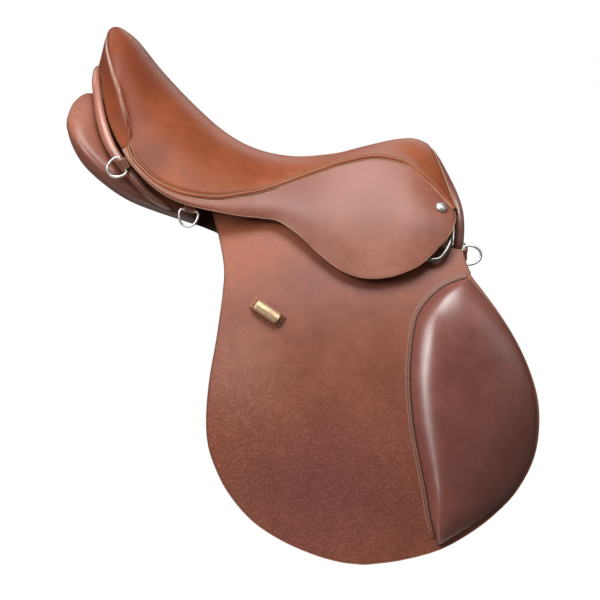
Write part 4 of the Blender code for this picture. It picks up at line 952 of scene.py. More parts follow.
PAD_REAR_EDGE = [
    (0.1350, 0.0026), (0.1202, 0.0050), (0.1026, 0.0121), (0.0842, 0.0268), (0.0737, 0.0421),
    (0.0665, 0.0684), (0.0606, 0.1055), (0.0597, 0.1482), (0.0620, 0.1802), (0.0665, 0.2228),
    (0.0688, 0.2544), (0.0736, 0.2820),
]
PAD_FRONT_EDGE = [
    (0.1360, 0.0030), (0.1560, 0.0366), (0.1730, 0.0715), (0.1850, 0.1063), (0.1903, 0.1402),
    (0.1885, 0.1716), (0.1797, 0.2008), (0.1602, 0.2286), (0.1397, 0.2457), (0.1119, 0.2634),
    (0.0762, 0.2820),
]
PAD_MIDDLE = (0.100, 0.150)
PAD_SPREAD = 0.0040
PAD_HEIGHT = 0.0200
PAD_LIP = 0.0016
PAD_SEAT = FLAP_THICKNESS + 0.0004
PAD_ROLL_SHARE = 0.25
PAD_TOP_SHARE = 0.24
PAD_BOTTOM_SHARE = 0.22
PAD_ROLL_POWER = 0.62
PAD_SLOPE_POWER = 0.75
PAD_ENDS_POWER = 0.6
PAD_SEWN_TO = 0.975
GROOVE_CORD_RADIUS = 0.0008
GROOVE_CORD_SIDES = 8
GROOVE_CORD_GAP = 0.0001
GROOVE_CORD_RISE = 0.0010
# How much of the pad's rear edge the cord and the stitches follow, in steps along it.
CORD_ALONG = slice(2, -2)
STITCHED_ALONG = slice(6, -3)
# Rows of the binding: how far behind the pad's edge, and how high over the flap.
BINDING_ROWS = (
    (0.0008, 0.0002), (0.0011, 0.0004), (0.0020, 0.0005), (0.0032, 0.0005), (0.0044, 0.0005),
    (0.0056, 0.0005), (0.0063, 0.0004), (0.0066, 0.0002),
)
BINDING_SEAT = 0.0001
STITCH_ROWS = (("inner", 0.0024), ("outer", 0.0053))
STITCH_RISE = 0.0005


def rounded(share, power):
    """Rise from 0 to 1 that is round at its top, and the steeper at its foot the smaller the power."""
    return math.sin(share * math.pi / 2) ** power


def pad_height(row, column):
    """Height of the knee pad: a steep round roll along its stitched rear edge, a long slope in front."""
    rear = min(column / PAD_ROLL_SHARE, 1.0)
    front = min((1 - column) / (1 - PAD_ROLL_SHARE), 1.0)
    ends = max(min(row / PAD_TOP_SHARE, (1 - row) / PAD_BOTTOM_SHARE, 1.0), 0.0)
    swell = rounded(rear, PAD_ROLL_POWER) * rounded(front, PAD_SLOPE_POWER)
    return PAD_LIP + (PAD_HEIGHT - PAD_LIP) * swell * rounded(ends, PAD_ENDS_POWER)


# Its patch is painted shade, darkening the pad's lower front.
pad_hide = leather(
    "knee_pad_calf", (0.175, 0.050, 0.036), (0.255, 0.080, 0.058), 0.34, grain=0.12, coat=0.75,
    edge=(0.10, 0.030, 0.018), specular=0.60, painted_light_patches=[(0.350, -0.170, 0.130, (0.120, 0.032, 0.024), 0.85)])
pad_rows = [0.0, 0.004, 0.01, 0.02, 0.035] + even(62, 0.055, 0.945) + [0.965, 0.98, 0.99, 0.996, 1.0]
pad_columns = [0.0, 0.004, 0.012, 0.024, 0.04, 0.06, 0.085, 0.115] + even(26, 0.15, 0.88)
pad_columns += [0.91, 0.94, 0.965, 0.985, 1.0]
pad_front = [PAD_FRONT_EDGE[0]]
for n, place in enumerate(PAD_FRONT_EDGE[1:-1], 1):
    away = (Vector(place) - Vector(PAD_MIDDLE)).normalized()
    spread = PAD_SPREAD * min(n / 2, 1.0, (len(PAD_FRONT_EDGE) - 1 - n) / 2)
    pad_front.append(tuple(Vector(place) + away * spread))
pad_front.append(PAD_FRONT_EDGE[-1])
pad_grid = rows_between(PAD_REAR_EDGE, pad_front, pad_rows, pad_columns)
pad_outer = []
pad_inner = []
for row, places in zip(pad_rows, pad_grid):
    heights = [pad_height(row, column) for column in pad_columns]
    pad_outer.append([tuple(side_spot(p[0], p[1], PAD_SEAT + h)) for p, h in zip(places, heights)])
    pad_inner.append([tuple(side_spot(p[0], p[1], PAD_SEAT)) for p in places])
pad_line = [curve_at(PAD_REAR_EDGE, f) for f in even(150, 0.0, PAD_SEWN_TO)]


def beside(line, gap):
    """Places at a gap from a line, on the side away from the pad."""
    moved = []
    for k, spot in enumerate(line):
        along = (line[min(k + 1, len(line) - 1)] - line[max(k - 1, 0)]).normalized()
        away = Vector((-along[1], along[0]))
        moved.append(spot + away * (gap if away[0] < 0 else -gap))
    return moved


binding_hide = leather(
    "binding_leather", (0.200, 0.062, 0.036), (0.285, 0.098, 0.058), 0.46, grain=0.2,
    edge=(0.16, 0.050, 0.030), specular=0.55)
# The cord's near-black colour is painted shade: it draws the dark groove along the pad's rear edge.
groove_shade_cord = Finish("groove_shade_cord", 0.5)
wax = groove_shade_cord.noise(500.0, 3.0)
groove_shade_cord.put("Base Color", groove_shade_cord.mix(wax, (0.045, 0.012, 0.008), (0.085, 0.024, 0.015)))
groove_shade_cord.bump(wax, 0.0001, 0.5)
binding_high = []
binding_low = []
for gap, rise in BINDING_ROWS:
    line = beside(pad_line, gap)
    binding_high.append([tuple(side_spot(p[0], p[1], FLAP_THICKNESS + rise)) for p in line])
    binding_low.append([tuple(side_spot(p[0], p[1], FLAP_THICKNESS + BINDING_SEAT)) for p in line])
groove_line = beside(pad_line, GROOVE_CORD_GAP)[CORD_ALONG]
groove_path = [side_spot(p[0], p[1], FLAP_THICKNESS + GROOVE_CORD_RISE) for p in groove_line]
groove_loops = tube_loops(groove_path, GROOVE_CORD_RADIUS, GROOVE_CORD_SIDES)
for name, side in SIDES:
    pad = sheet_piece("knee_pad_calf_" + name, pad_outer, pad_inner, side, pad_hide, rim=0.0006)
    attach(pad, "flap_" + name)
    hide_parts("knee_pad_" + name)
    binding = sheet_piece(
        "knee_pad_binding_" + name, binding_high, binding_low, side, binding_hide, rim=0.0001)
    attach(binding, "flap_" + name)
    cord = loft_piece("knee_pad_cord_" + name, groove_loops, side, groove_shade_cord)
    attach(cord, "flap_" + name)
    for row, gap in STITCH_ROWS:
        line = beside(pad_line, gap)[STITCHED_ALONG]
        path = [side_spot(p[0], p[1], FLAP_THICKNESS + STITCH_RISE) for p in line]
        outward = [side_normal(p[0], p[1]) for p in line]
        seam = stitch_row(
            "knee_pad_stitches_" + row + "_" + name, path, outward, side, thread,
            length=0.0016, pitch=0.0028, width=0.00040)
        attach(seam, "flap_" + name)

# Keepers
# A slanting leather loop on each flap for the spare end of the stirrup leather, sewn down at both ends,
# with a small plain brass plate riveted on its front.

KEEPER_MIDDLE = (-0.0893, 0.0184)
KEEPER_ANGLE = math.radians(38.5)
KEEPER_LENGTH = 0.040
KEEPER_WIDTH = 0.013
KEEPER_ROOM = 0.0050
KEEPER_SEAT = 0.0004
KEEPER_CLEAR_SHARE = 0.62
KEEPER_THICKNESS = 0.0022
PLATE_LENGTH = 0.031
PLATE_WIDTH = 0.0095
PLATE_GAP = 0.0002
PLATE_EDGE = 0.0005
PLATE_SLOPE = 0.0014
PLATE_RIDGE_TO = 0.9
PLATE_TAPER_FROM = 0.90
PLATE_TAPER_OVER = 0.10
PLATE_TAPER = 0.25


def keeper_place(along, across):
    """Place on the side surface, measured along and across the keeper."""
    u = KEEPER_MIDDLE[0] + along * math.cos(KEEPER_ANGLE) - across * math.sin(KEEPER_ANGLE)
    v = KEEPER_MIDDLE[1] + along * math.sin(KEEPER_ANGLE) + across * math.cos(KEEPER_ANGLE)
    return u, v


def keeper_rise(along):
    """Height of the keeper's underside over the flap."""
    share = min(abs(along) / (KEEPER_LENGTH / 2), 1.0)
    past = max(share - KEEPER_CLEAR_SHARE, 0.0) / (1 - KEEPER_CLEAR_SHARE)
    return KEEPER_SEAT + KEEPER_ROOM * (1 - past**2 * (3 - 2 * past))


keeper_hide = leather(
    "keeper_leather", (0.24, 0.085, 0.045), (0.33, 0.125, 0.066), 0.45, grain=0.2, specular=0.55)
brass = Finish("plain_brass", 0.26, metallic=1.0)
tarnish = brass.noise(120.0, 5.0, 0.7)
scratches = brass.noise(300.0, 4.0, 0.7, stretch=(0.06, 1.0, 1.0), turn=(0.0, 0.5, 0.0))
brass.put("Base Color", brass.mix(tarnish.ramp(0.35, 0.75), (0.36, 0.26, 0.16), (0.20, 0.15, 0.08)))
brass.put("Roughness", tarnish * 0.20 + scratches * 0.15 + 0.27)
brass.bump(scratches, 0.00005, 0.5)
loop_outer = []
loop_inner = []
for along in even(41, -KEEPER_LENGTH / 2, KEEPER_LENGTH / 2):
    places = [keeper_place(along, KEEPER_WIDTH * w) for w in even(9, -0.5, 0.5)]
    under = FLAP_THICKNESS + keeper_rise(along)
    loop_inner.append([tuple(side_spot(*p, under)) for p in places])
    loop_outer.append([tuple(side_spot(*p, under + KEEPER_THICKNESS)) for p in places])
plate_outer = []
plate_inner = []
plate_base = FLAP_THICKNESS + keeper_rise(0.0) + KEEPER_THICKNESS + PLATE_GAP
plate_shares = even(11, -1.0, 1.0)
for along in even(21, -PLATE_LENGTH / 2, PLATE_LENGTH / 2):
    ends = max(abs(along) / (PLATE_LENGTH / 2) - PLATE_TAPER_FROM, 0.0) / PLATE_TAPER_OVER
    half = PLATE_WIDTH / 2 * (1 - PLATE_TAPER * ends**2)
    places = [keeper_place(along, half * w) for w in plate_shares]
    rise = [PLATE_EDGE + PLATE_SLOPE * min(1 - abs(w), PLATE_RIDGE_TO) for w in plate_shares]
    plate_inner.append([tuple(side_spot(*p, plate_base)) for p in places])
    plate_outer.append([tuple(side_spot(*p, plate_base + h)) for p, h in zip(places, rise)])
for name, side in SIDES:
    keeper = sheet_piece("keeper_loop_" + name, loop_outer, loop_inner, side, keeper_hide, rim=0.0005)
    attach(keeper, "flap_" + name)
    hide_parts("flap_keeper_" + name)
    plate = sheet_piece("brass_plate_" + name, plate_outer, plate_inner, side, brass, rim=0.0002)
    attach(plate, "flap_" + name)
    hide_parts("keeper_plate_" + name)

# Sweat flaps
# Plainer, softer leather between the girth straps and the horse, cut a little smaller than the flap,
# with the flesh side in. Each is nailed to the tree under the flap.

SWEAT_DEPTH = 0.0110
SWEAT_THICKNESS = 0.0034
SWEAT_INSET = 0.014
SWEAT_TOP = -0.012
SWEAT_END = 0.985
FLAP_MIDDLE = (0.010, 0.120)


def inset_edge(edge, middle, inset, top):
    """Edge curve moved towards a middle place by an inset, starting at a given height."""
    moved = []
    for place in edge:
        away = Vector(place) - Vector(middle)
        moved.append(Vector(middle) + away * (1 - inset / away.length))
    kept = [p for p in moved if p[1] > top + inset]
    return [(kept[0][0], top)] + [tuple(p) for p in kept]


# Its near-black colour is painted shade: it stands for the deep shade in the gap between the panel and the
# flap.
sweat_hide = leather(
    "sweat_leather_painted_shade", (0.050, 0.018, 0.011), (0.080, 0.028, 0.017), 0.6, grain=0.5, specular=0.3)
sweat_rear = inset_edge(FLAP_REAR_EDGE, FLAP_MIDDLE, SWEAT_INSET, SWEAT_TOP)
sweat_front = inset_edge(FLAP_FRONT_EDGE, FLAP_MIDDLE, SWEAT_INSET, SWEAT_TOP)
sweat_columns = near_edges(30, [0.004, 0.01, 0.02])
sweat_rows = rows_between(sweat_rear, sweat_front, even(60, 0.0, SWEAT_END), sweat_columns)
sweat_far = -SWEAT_DEPTH - SWEAT_THICKNESS
for name, side in SIDES:
    sweat = side_sheet(
        "sweat_hide_" + name, sweat_rows, -SWEAT_DEPTH, sweat_far, side, sweat_hide, rim=0.0008)
    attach(sweat, "saddle")
    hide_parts("sweat_flap_" + name)

# Lower panels
# The thin, flat part of each panel below the cushion: two skins of panel hide with felt between, that
# keep the straps' buckles off the horse. The edges are sewn flat.

PANEL_FLAP_THICKNESS = 0.0130
PANEL_FLAP_EDGE = 0.003
PANEL_FLAP_INSET = 0.026
PANEL_FLAP_TOP = -0.004
PANEL_FLAP_GAP = 0.0011
PANEL_FLAP_END = 0.985
PANEL_FLAP_SIDES_FULL = 0.14
PANEL_FLAP_FOOT_FULL = 0.15
PANEL_FLAP_POWER = 0.8

# Its patches are painted light: painted shade on the panel's underside, a near-black painted shade in the gap
# behind the flap, and a painted highlight on the rear of the cushion.
panel_hide = leather(
    "panel_calf", (0.20, 0.060, 0.034), (0.285, 0.092, 0.054), 0.42, grain=0.3, coat=0.06, specular=0.55,
    painted_light_patches=[
        (-0.130, 0.035, 0.100, (0.095, 0.028, 0.017), 0.85),
        (-0.235, 0.110, 0.040, (0.360, 0.130, 0.080), 0.5),
        (-0.062, 0.022, 0.050, (0.022, 0.008, 0.006), 0.95)])
lower_rear = inset_edge(FLAP_REAR_EDGE, FLAP_MIDDLE, PANEL_FLAP_INSET, PANEL_FLAP_TOP)
lower_front = inset_edge(FLAP_FRONT_EDGE, FLAP_MIDDLE, PANEL_FLAP_INSET, PANEL_FLAP_TOP)
lower_columns = near_edges(34, [0.01, 0.025, 0.045])
lower_fractions = even(52, 0.0, PANEL_FLAP_END)
lower_grid = rows_between(lower_rear, lower_front, lower_fractions, lower_columns)
lower_face = sweat_far - PANEL_FLAP_GAP
lower_fill = PANEL_FLAP_THICKNESS - PANEL_FLAP_EDGE
lower_outer = []
lower_inner = []
for fraction, places in zip(lower_fractions, lower_grid):
    foot = (1 - fraction) / PANEL_FLAP_FOOT_FULL
    full = [min(c / PANEL_FLAP_SIDES_FULL, (1 - c) / PANEL_FLAP_SIDES_FULL, foot, 1.0) for c in lower_columns]
    depth = [PANEL_FLAP_EDGE + lower_fill * rounded(f, PANEL_FLAP_POWER) for f in full]
    lower_outer.append([tuple(side_spot(p[0], p[1], lower_face)) for p in places])
    lower_inner.append([tuple(side_spot(p[0], p[1], lower_face - d)) for p, d in zip(places, depth)])
for name, side in SIDES:
    lower = sheet_piece("lower_panel_" + name, lower_outer, lower_inner, side, panel_hide, rim=0.0010)
    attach(lower, "saddle")
    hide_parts("panel_flap_" + name)

# Girth straps
# Three bridle leather straps a side, sewn to the web, with a row of punched holes for the girth's
# buckles, pointed ends and a pressed line along both edges.

STRAP_DEPTH = 0.0042
STRAP_THICKNESS = 0.0038
STRAP_WIDTH = 0.025
STRAP_SPACING = 0.038
STRAP_LENGTH = 0.257
STRAP_TIP = 0.008
STRAP_TIP_WIDTH = 0.014
STRAP_TIP_POWER = 1.6
STRAP_END = 0.0255
STRAP_END_LEAN = math.radians(3.0)
STRAP_MIDDLE_X = 0.084
STRAP_PIVOT_DOWN = -0.008
STRAP_HEAD = 0.014
STRAP_SHARES = (-1.0, -0.92, -0.8, -0.4, 0.0, 0.4, 0.8, 0.92, 1.0)
SETTLING_STEPS = 3
STRAP_SEAM_INSET = 0.003
STRAP_SEAM_FROM = 0.012
STRAP_SEAM_TO = 0.060
HOLE_RADIUS = 0.0022
HOLE_CORNERS = 14
PUNCH_REACH = 0.008
HOLE_SPACING = 0.0125
LAST_HOLE = 0.022
HOLES = 8
HOLE_RIM_ANGLE = math.radians(50)

side_along = Vector((math.cos(BEND_ANGLE), 0.0, math.sin(BEND_ANGLE)))
side_down = Vector((math.sin(BEND_ANGLE), 0.0, -math.cos(BEND_ANGLE)))
strap_out = (Vector((0.0, 1.0, 0.0)) - side_along * SIDE_LEAN - side_down * LOWER_SLOPE).normalized()
strap_fall = Vector((0.0, 0.0, -1.0))
strap_fall = (strap_fall - strap_out * strap_fall.dot(strap_out)).normalized()
strap_across = strap_fall.cross(strap_out)


def strap_pivot(x):
    """Point on the middle of a strap's thickness where it swings."""
    along = (x - BEND_X - STRAP_PIVOT_DOWN * math.sin(BEND_ANGLE)) / math.cos(BEND_ANGLE)
    return side_spot(along, STRAP_PIVOT_DOWN, -STRAP_DEPTH - STRAP_THICKNESS / 2)


def on_strap(pivot, reach, sideways):
    """Point of a strap's outer face, down its length and across it."""
    spot = pivot + strap_fall * reach + strap_across * sideways
    lean = max(reach - STRAP_LENGTH + STRAP_END, 0.0) * math.tan(STRAP_END_LEAN)
    for _ in range(SETTLING_STEPS):
        y = side_y(*from_bend(spot.x, spot.z)) - STRAP_DEPTH - lean
        spot = spot + strap_out * ((y - spot.y) / strap_out.y)
    return spot


def with_holes(piece, holes):
    """The piece with round holes punched through it; each hole is a middle and an axis."""
    points = []
    faces = []
    for middle, axis in holes:
        east = axis.orthogonal().normalized()
        north = axis.cross(east)
        first = len(points)
        second = first + HOLE_CORNERS
        for end in (-PUNCH_REACH, PUNCH_REACH):
            for n in range(HOLE_CORNERS):
                angle = 2 * math.pi * n / HOLE_CORNERS
                spread = (east * math.cos(angle) + north * math.sin(angle)) * HOLE_RADIUS
                points.append(tuple(middle + axis * end + spread))
        for n in range(HOLE_CORNERS):
            m = (n + 1) % HOLE_CORNERS
            faces.append((first + n, first + m, second + m, second + n))
        faces.append([first + n for n in range(HOLE_CORNERS)])
        faces.append([second + n for n in range(HOLE_CORNERS)])
    cutter = mesh_piece("punch", points, faces, strap_hide)
    cut = piece.modifiers.new("holes", "BOOLEAN")
    cut.operation = "DIFFERENCE"
    cut.solver = "EXACT"
    cut.object = cutter
    graph = bpy.context.evaluated_depsgraph_get()
    punched = bpy.data.meshes.new_from_object(piece.evaluated_get(graph))
    piece.modifiers.clear()
    piece.data = punched
    bpy.data.objects.remove(cutter, do_unlink=True)
    punched.set_sharp_from_angle(angle=HOLE_RIM_ANGLE)


strap_hide = leather("strap_leather", (0.105, 0.034, 0.016), (0.165, 0.056, 0.028), 0.42, grain=0.3, coat=0.1)
strap_reaches = even(60, -STRAP_HEAD, STRAP_LENGTH - STRAP_TIP)
strap_reaches += even(6, STRAP_LENGTH - STRAP_TIP, STRAP_LENGTH)[1:]
for name, side in SIDES:
    for index, strap in enumerate(("rear", "middle", "front")):
        pivot = strap_pivot(STRAP_MIDDLE_X + (index - 1) * STRAP_SPACING)
        outer = []
        inner = []
        for reach in strap_reaches:
            past = max(reach - STRAP_LENGTH + STRAP_TIP, 0.0) / STRAP_TIP
            half = (STRAP_WIDTH - (STRAP_WIDTH - STRAP_TIP_WIDTH) * past**STRAP_TIP_POWER) / 2
            spots = [on_strap(pivot, reach, half * w) for w in STRAP_SHARES]
            outer.append([tuple(p) for p in spots])
            inner.append([tuple(p - Vector((0.0, STRAP_THICKNESS, 0.0))) for p in spots])
        made = sheet_piece(
            "girth_strap_leather_" + strap + "_" + name, outer, inner, side, strap_hide, rim=0.0007)
        axis = Vector((strap_out.x, strap_out.y * side, strap_out.z))
        holes = []
        for n in range(HOLES):
            spot = on_strap(pivot, STRAP_LENGTH - LAST_HOLE - n * HOLE_SPACING, 0.0)
            holes.append((Vector((spot.x, spot.y * side, spot.z)), axis))
        with_holes(made, holes)
        body = "girth_strap_" + strap + "_" + name
        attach(made, body)
        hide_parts(body)
        for edge, way in (("_aft_", -1.0), ("_fore_", 1.0)):
            sideways = way * (STRAP_WIDTH / 2 - STRAP_SEAM_INSET)
            path = [on_strap(pivot, reach, sideways) for reach in even(60, STRAP_SEAM_FROM, STRAP_SEAM_TO)]
            seam = stitch_row(
                "girth_strap_stitches_" + strap + edge + name, path, [strap_out] * len(path), side, thread)
            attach(seam, body)

# Buckle guards
# Two layers of strap leather sewn together between the straps, so that each guard slides on them over
# the girth's buckles.

GUARD_DOWN = 0.170
GUARD_LENGTH = 0.062
GUARD_FRONT = 0.0022
GUARD_BACK = 0.0016
GUARD_MARGIN = 0.008
GUARD_CORNER = 0.006
GUARD_SEAM_INSET = 0.0035
GUARD_SEAM_END = 0.004
GUARD_LAYERS = (("front", 1.0, GUARD_FRONT), ("back", -1.0, GUARD_BACK))
LAYER_GAP = 0.0001
SLIDE_GAP = 0.0006
SLOT_GAP = 0.0012
SEWN_SLOPE = 0.0025

guard_hide = leather("guard_leather", (0.12, 0.038, 0.020), (0.18, 0.060, 0.030), 0.48, grain=0.35)
guard_pivots = [strap_pivot(STRAP_MIDDLE_X + n * STRAP_SPACING) for n in (-1, 0, 1)]
guard_offsets = sorted((p - guard_pivots[1]).dot(strap_across) for p in guard_pivots)
guard_middle = guard_pivots[1] + strap_fall * GUARD_DOWN
guard_middle.y = side_y(*from_bend(guard_middle.x, guard_middle.z)) - STRAP_DEPTH - STRAP_THICKNESS / 2
guard_room = STRAP_THICKNESS / 2 / strap_out.y + SLIDE_GAP
slot_half = STRAP_WIDTH / 2 + SLOT_GAP
guard_half = guard_offsets[-1] + slot_half + GUARD_MARGIN


def guard_lift(across):
    """How far the guard's layers stand apart: full over a strap, touching where they are sewn."""
    past = min(abs(across - offset) for offset in guard_offsets) - slot_half
    return guard_room * (1 - min(max(past / SEWN_SLOPE, 0.0), 1.0) ** 2)


guard_places = even(121, -guard_half, guard_half)
guard_seams = [-guard_half + GUARD_SEAM_INSET, (guard_offsets[0] + guard_offsets[1]) / 2]
guard_seams += [-across for across in reversed(guard_seams)]
seam_end = GUARD_LENGTH / 2 - GUARD_SEAM_END
for name, side in SIDES:
    for layer, outward, thickness in GUARD_LAYERS:
        outer = []
        inner = []
        for share in even(17, -1.0, 1.0):
            outer.append([])
            inner.append([])
            for across in guard_places:
                corner = max(abs(across) - guard_half + GUARD_CORNER, 0.0) / GUARD_CORNER
                cut = GUARD_CORNER * (1 - math.sqrt(max(1 - corner**2, 0.0)))
                reach = share * (GUARD_LENGTH / 2 - cut)
                spot = guard_middle + strap_across * across + strap_fall * reach
                near = guard_lift(across) + LAYER_GAP
                inner[-1].append(tuple(spot + strap_out * near * outward))
                outer[-1].append(tuple(spot + strap_out * (near + thickness) * outward))
        guard = sheet_piece("buckle_guard_" + layer + "_" + name, outer, inner, side, guard_hide, rim=0.0006)
        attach(guard, "buckle_guard_" + name)
        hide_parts("buckle_guard_" + name)
    for n, across in enumerate(guard_seams):
        lift = guard_lift(across) + GUARD_FRONT
        path = []
        for reach in even(30, -seam_end, seam_end):
            path.append(guard_middle + strap_across * across + strap_fall * reach + strap_out * lift)
        seam = stitch_row(
            "buckle_guard_stitches_%d_%s" % (n, name), path, [strap_out] * len(path), side, thread)
        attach(seam, "buckle_guard_" + name)

# Panels
# The cushions that rest on the horse: calf over a flocked wool filling, full and round behind under the
# cantle, thinner in the middle, and swelling again beside the withers.

# Each row from the rear: x, then the corners (y, z) of a section from its inner face round its underside.
PANEL_STATIONS = [
    (-0.2440, (0.048, 0.106), (0.062, 0.101), (0.076, 0.107), (0.077, 0.120), (0.062, 0.129), (0.049, 0.123)),
    (-0.2370, (0.039, 0.095), (0.064, 0.088), (0.088, 0.095), (0.091, 0.115), (0.066, 0.139), (0.042, 0.136)),
    (-0.2240, (0.034, 0.080), (0.066, 0.073), (0.098, 0.080), (0.102, 0.098), (0.070, 0.136), (0.037, 0.148)),
    (-0.2000, (0.033, 0.064), (0.068, 0.056), (0.106, 0.063), (0.112, 0.080), (0.078, 0.108), (0.036, 0.138)),
    (-0.1600, (0.033, 0.052), (0.070, 0.038), (0.110, 0.042), (0.115, 0.058), (0.086, 0.084), (0.036, 0.112)),
    (-0.1200, (0.033, 0.048), (0.070, 0.032), (0.108, 0.033), (0.114, 0.044), (0.084, 0.074), (0.036, 0.100)),
    (-0.0900, (0.033, 0.049), (0.067, 0.030), (0.105, 0.028), (0.114, 0.040), (0.080, 0.068), (0.036, 0.092)),
    (-0.0600, (0.033, 0.052), (0.063, 0.031), (0.096, 0.023), (0.103, 0.038), (0.075, 0.063), (0.036, 0.084)),
    (-0.0300, (0.033, 0.056), (0.061, 0.033), (0.090, 0.014), (0.098, 0.032), (0.070, 0.062), (0.036, 0.080)),
    (0.0100, (0.033, 0.062), (0.062, 0.035), (0.094, -0.006), (0.100, 0.020), (0.070, 0.062), (0.037, 0.080)),
    (0.0600, (0.034, 0.070), (0.066, 0.040), (0.100, -0.004), (0.108, 0.022), (0.074, 0.066), (0.040, 0.088)),
    (0.1100, (0.038, 0.082), (0.072, 0.048), (0.106, 0.008), (0.114, 0.026), (0.082, 0.064), (0.046, 0.094)),
    (0.1500, (0.042, 0.092), (0.078, 0.056), (0.108, 0.022), (0.114, 0.036), (0.084, 0.070), (0.050, 0.100)),
    (0.1720, (0.046, 0.094), (0.080, 0.062), (0.107, 0.030), (0.112, 0.040), (0.080, 0.068), (0.050, 0.098)),
]
PANEL_CORNERS = 6
PANEL_SIDES = 48
PANEL_GAP = 0.0014
PANEL_BESIDE_FLAP = -0.075
PANEL_SHEAR = 0.30
PANEL_SHEAR_FROM = 0.060
PANEL_SHEAR_OVER = 0.10
PANEL_SHEAR_HEIGHT = 0.030
PANEL_DOME = 0.006
PANEL_ROUND_FROM = 2.6
PANEL_REAR_ANGLES = even(22, 0.07, 1.53)
PANEL_FRONT_ANGLES = even(8, 0.2, 1.5)
PANEL_SMOOTH_FROM = 6
PANEL_SMOOTH_TO = 46
PANEL_SMOOTH_PASSES = 14
PANEL_REAR_TIP = Vector((-0.2448, 0.0630, 0.1170))


def panel_loop(place):
    """Smooth closed section of the panel at a place among the rows of its table."""
    low = int(min(math.floor(place), len(PANEL_STATIONS) - 2))
    t = place - low
    rows = [PANEL_STATIONS[min(max(low + k, 0), len(PANEL_STATIONS) - 1)] for k in (-1, 0, 1, 2)]
    x = smooth_between([row[0] for row in rows], t)
    corners = [smooth_between([Vector(row[1 + c]) for row in rows], t) for c in range(PANEL_CORNERS)]
    lean = min(max((x - PANEL_SHEAR_FROM) / PANEL_SHEAR_OVER, 0.0), 1.0)
    loop = []
    for k in range(PANEL_SIDES):
        where = k * PANEL_CORNERS / PANEL_SIDES
        i = int(where)
        y, z = smooth_between([corners[(i + n) % PANEL_CORNERS] for n in (-1, 0, 1, 2)], where - i)
        shear = PANEL_SHEAR * lean * (PANEL_SHEAR_HEIGHT - z)
        if x > PANEL_BESIDE_FLAP:
            y = min(y, side_y(*from_bend(x + shear, z)) - SWEAT_DEPTH - SWEAT_THICKNESS - PANEL_GAP)
        loop.append(Vector((x + shear, y, z)))
    return loop


panel_loops = [panel_loop(p) for p in even(93, PANEL_ROUND_FROM, len(PANEL_STATIONS) - 1.0)]
rear_middle = sum(panel_loops[0], Vector()) / PANEL_SIDES
rear_end = []
for angle in reversed(PANEL_REAR_ANGLES):
    centre = rear_middle.lerp(PANEL_REAR_TIP, math.sin(angle))
    rear_end.append([centre + (p - rear_middle) * math.cos(angle) for p in panel_loops[0]])
front_middle = sum(panel_loops[-1], Vector()) / PANEL_SIDES
front_end = []
for angle in PANEL_FRONT_ANGLES:
    ahead = Vector((PANEL_DOME * math.sin(angle), 0.0, 0.0))
    front_end.append([front_middle + (p - front_middle) * math.cos(angle) + ahead for p in panel_loops[-1]])
panel_loops = rear_end + panel_loops + front_end
for _ in range(PANEL_SMOOTH_PASSES):
    for n in range(PANEL_SMOOTH_FROM, PANEL_SMOOTH_TO):
        near = zip(*panel_loops[n - 1:n + 2])
        panel_loops[n] = [here * 0.5 + (one + two) * 0.25 for one, here, two in near]
for name, side in SIDES:
    panel = loft_piece("panel_cushion_" + name, panel_loops, side, panel_hide, edge=uncut(panel_loops))
    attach(panel, "saddle")
    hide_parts("panel_" + name)

# Pommel facing
# A stuffed roll in smooth calf round the front of the head, with a pale welt sewn in where it meets the
# seat, closing the front of the saddle.

FACING_PATH = [
    (0.1735, 0.000, 0.1535), (0.1805, 0.024, 0.1453), (0.1960, 0.052, 0.1240), (0.2090, 0.077, 0.1030),
    (0.2155, 0.089, 0.0860), (0.2190, 0.0965, 0.0640), (0.2190, 0.101, 0.0480),
]
FACING_DEPTH = 0.011
FACING_THICKNESS = 0.018
FACING_LOOPS = 121
FACING_ROUND_LOOPS = 5
FACING_POWER = 0.72
SECTION_SIDES = 24
ROLL_ENDS_POWER = 0.6
FRONT_WELT_RADIUS = 0.0010
FRONT_WELT_SIDES = 10
FRONT_WELT_PLACE = Vector((0.0014, 0.0, -0.0012))


def mirrored_path(path):
    """A path from the right end over the centre to the left end."""
    return [(x, -y, z) for x, y, z in reversed(path[1:])] + list(path)


def section_loops(spots, outward, width, thickness, power, sizes):
    """Loops of a full rounded section along a path; outward gives the thickness direction, and a power
    under 1 makes the section squarer."""
    loops = []
    for k, spot in enumerate(spots):
        along = (spots[min(k + 1, len(spots) - 1)] - spots[max(k - 1, 0)]).normalized()
        out = (outward[k] - along * outward[k].dot(along)).normalized()
        across = along.cross(out)
        loop = []
        for n in range(SECTION_SIDES):
            angle = 2 * math.pi * n / SECTION_SIDES
            u = math.copysign(abs(math.cos(angle)) ** power, math.cos(angle)) * width / 2 * sizes[k]
            v = math.copysign(abs(math.sin(angle)) ** power, math.sin(angle)) * thickness / 2 * sizes[k]
            loop.append(spot + across * u + out * v)
        loops.append(loop)
    return loops


def round_ends(count, reach):
    """Sizes of the sections along a roll whose ends are rounded over so many sections."""
    ends = [min((k + 0.4) / reach, (count - k - 0.6) / reach, 1.0) for k in range(count)]
    return [rounded(end, ROLL_ENDS_POWER) for end in ends]


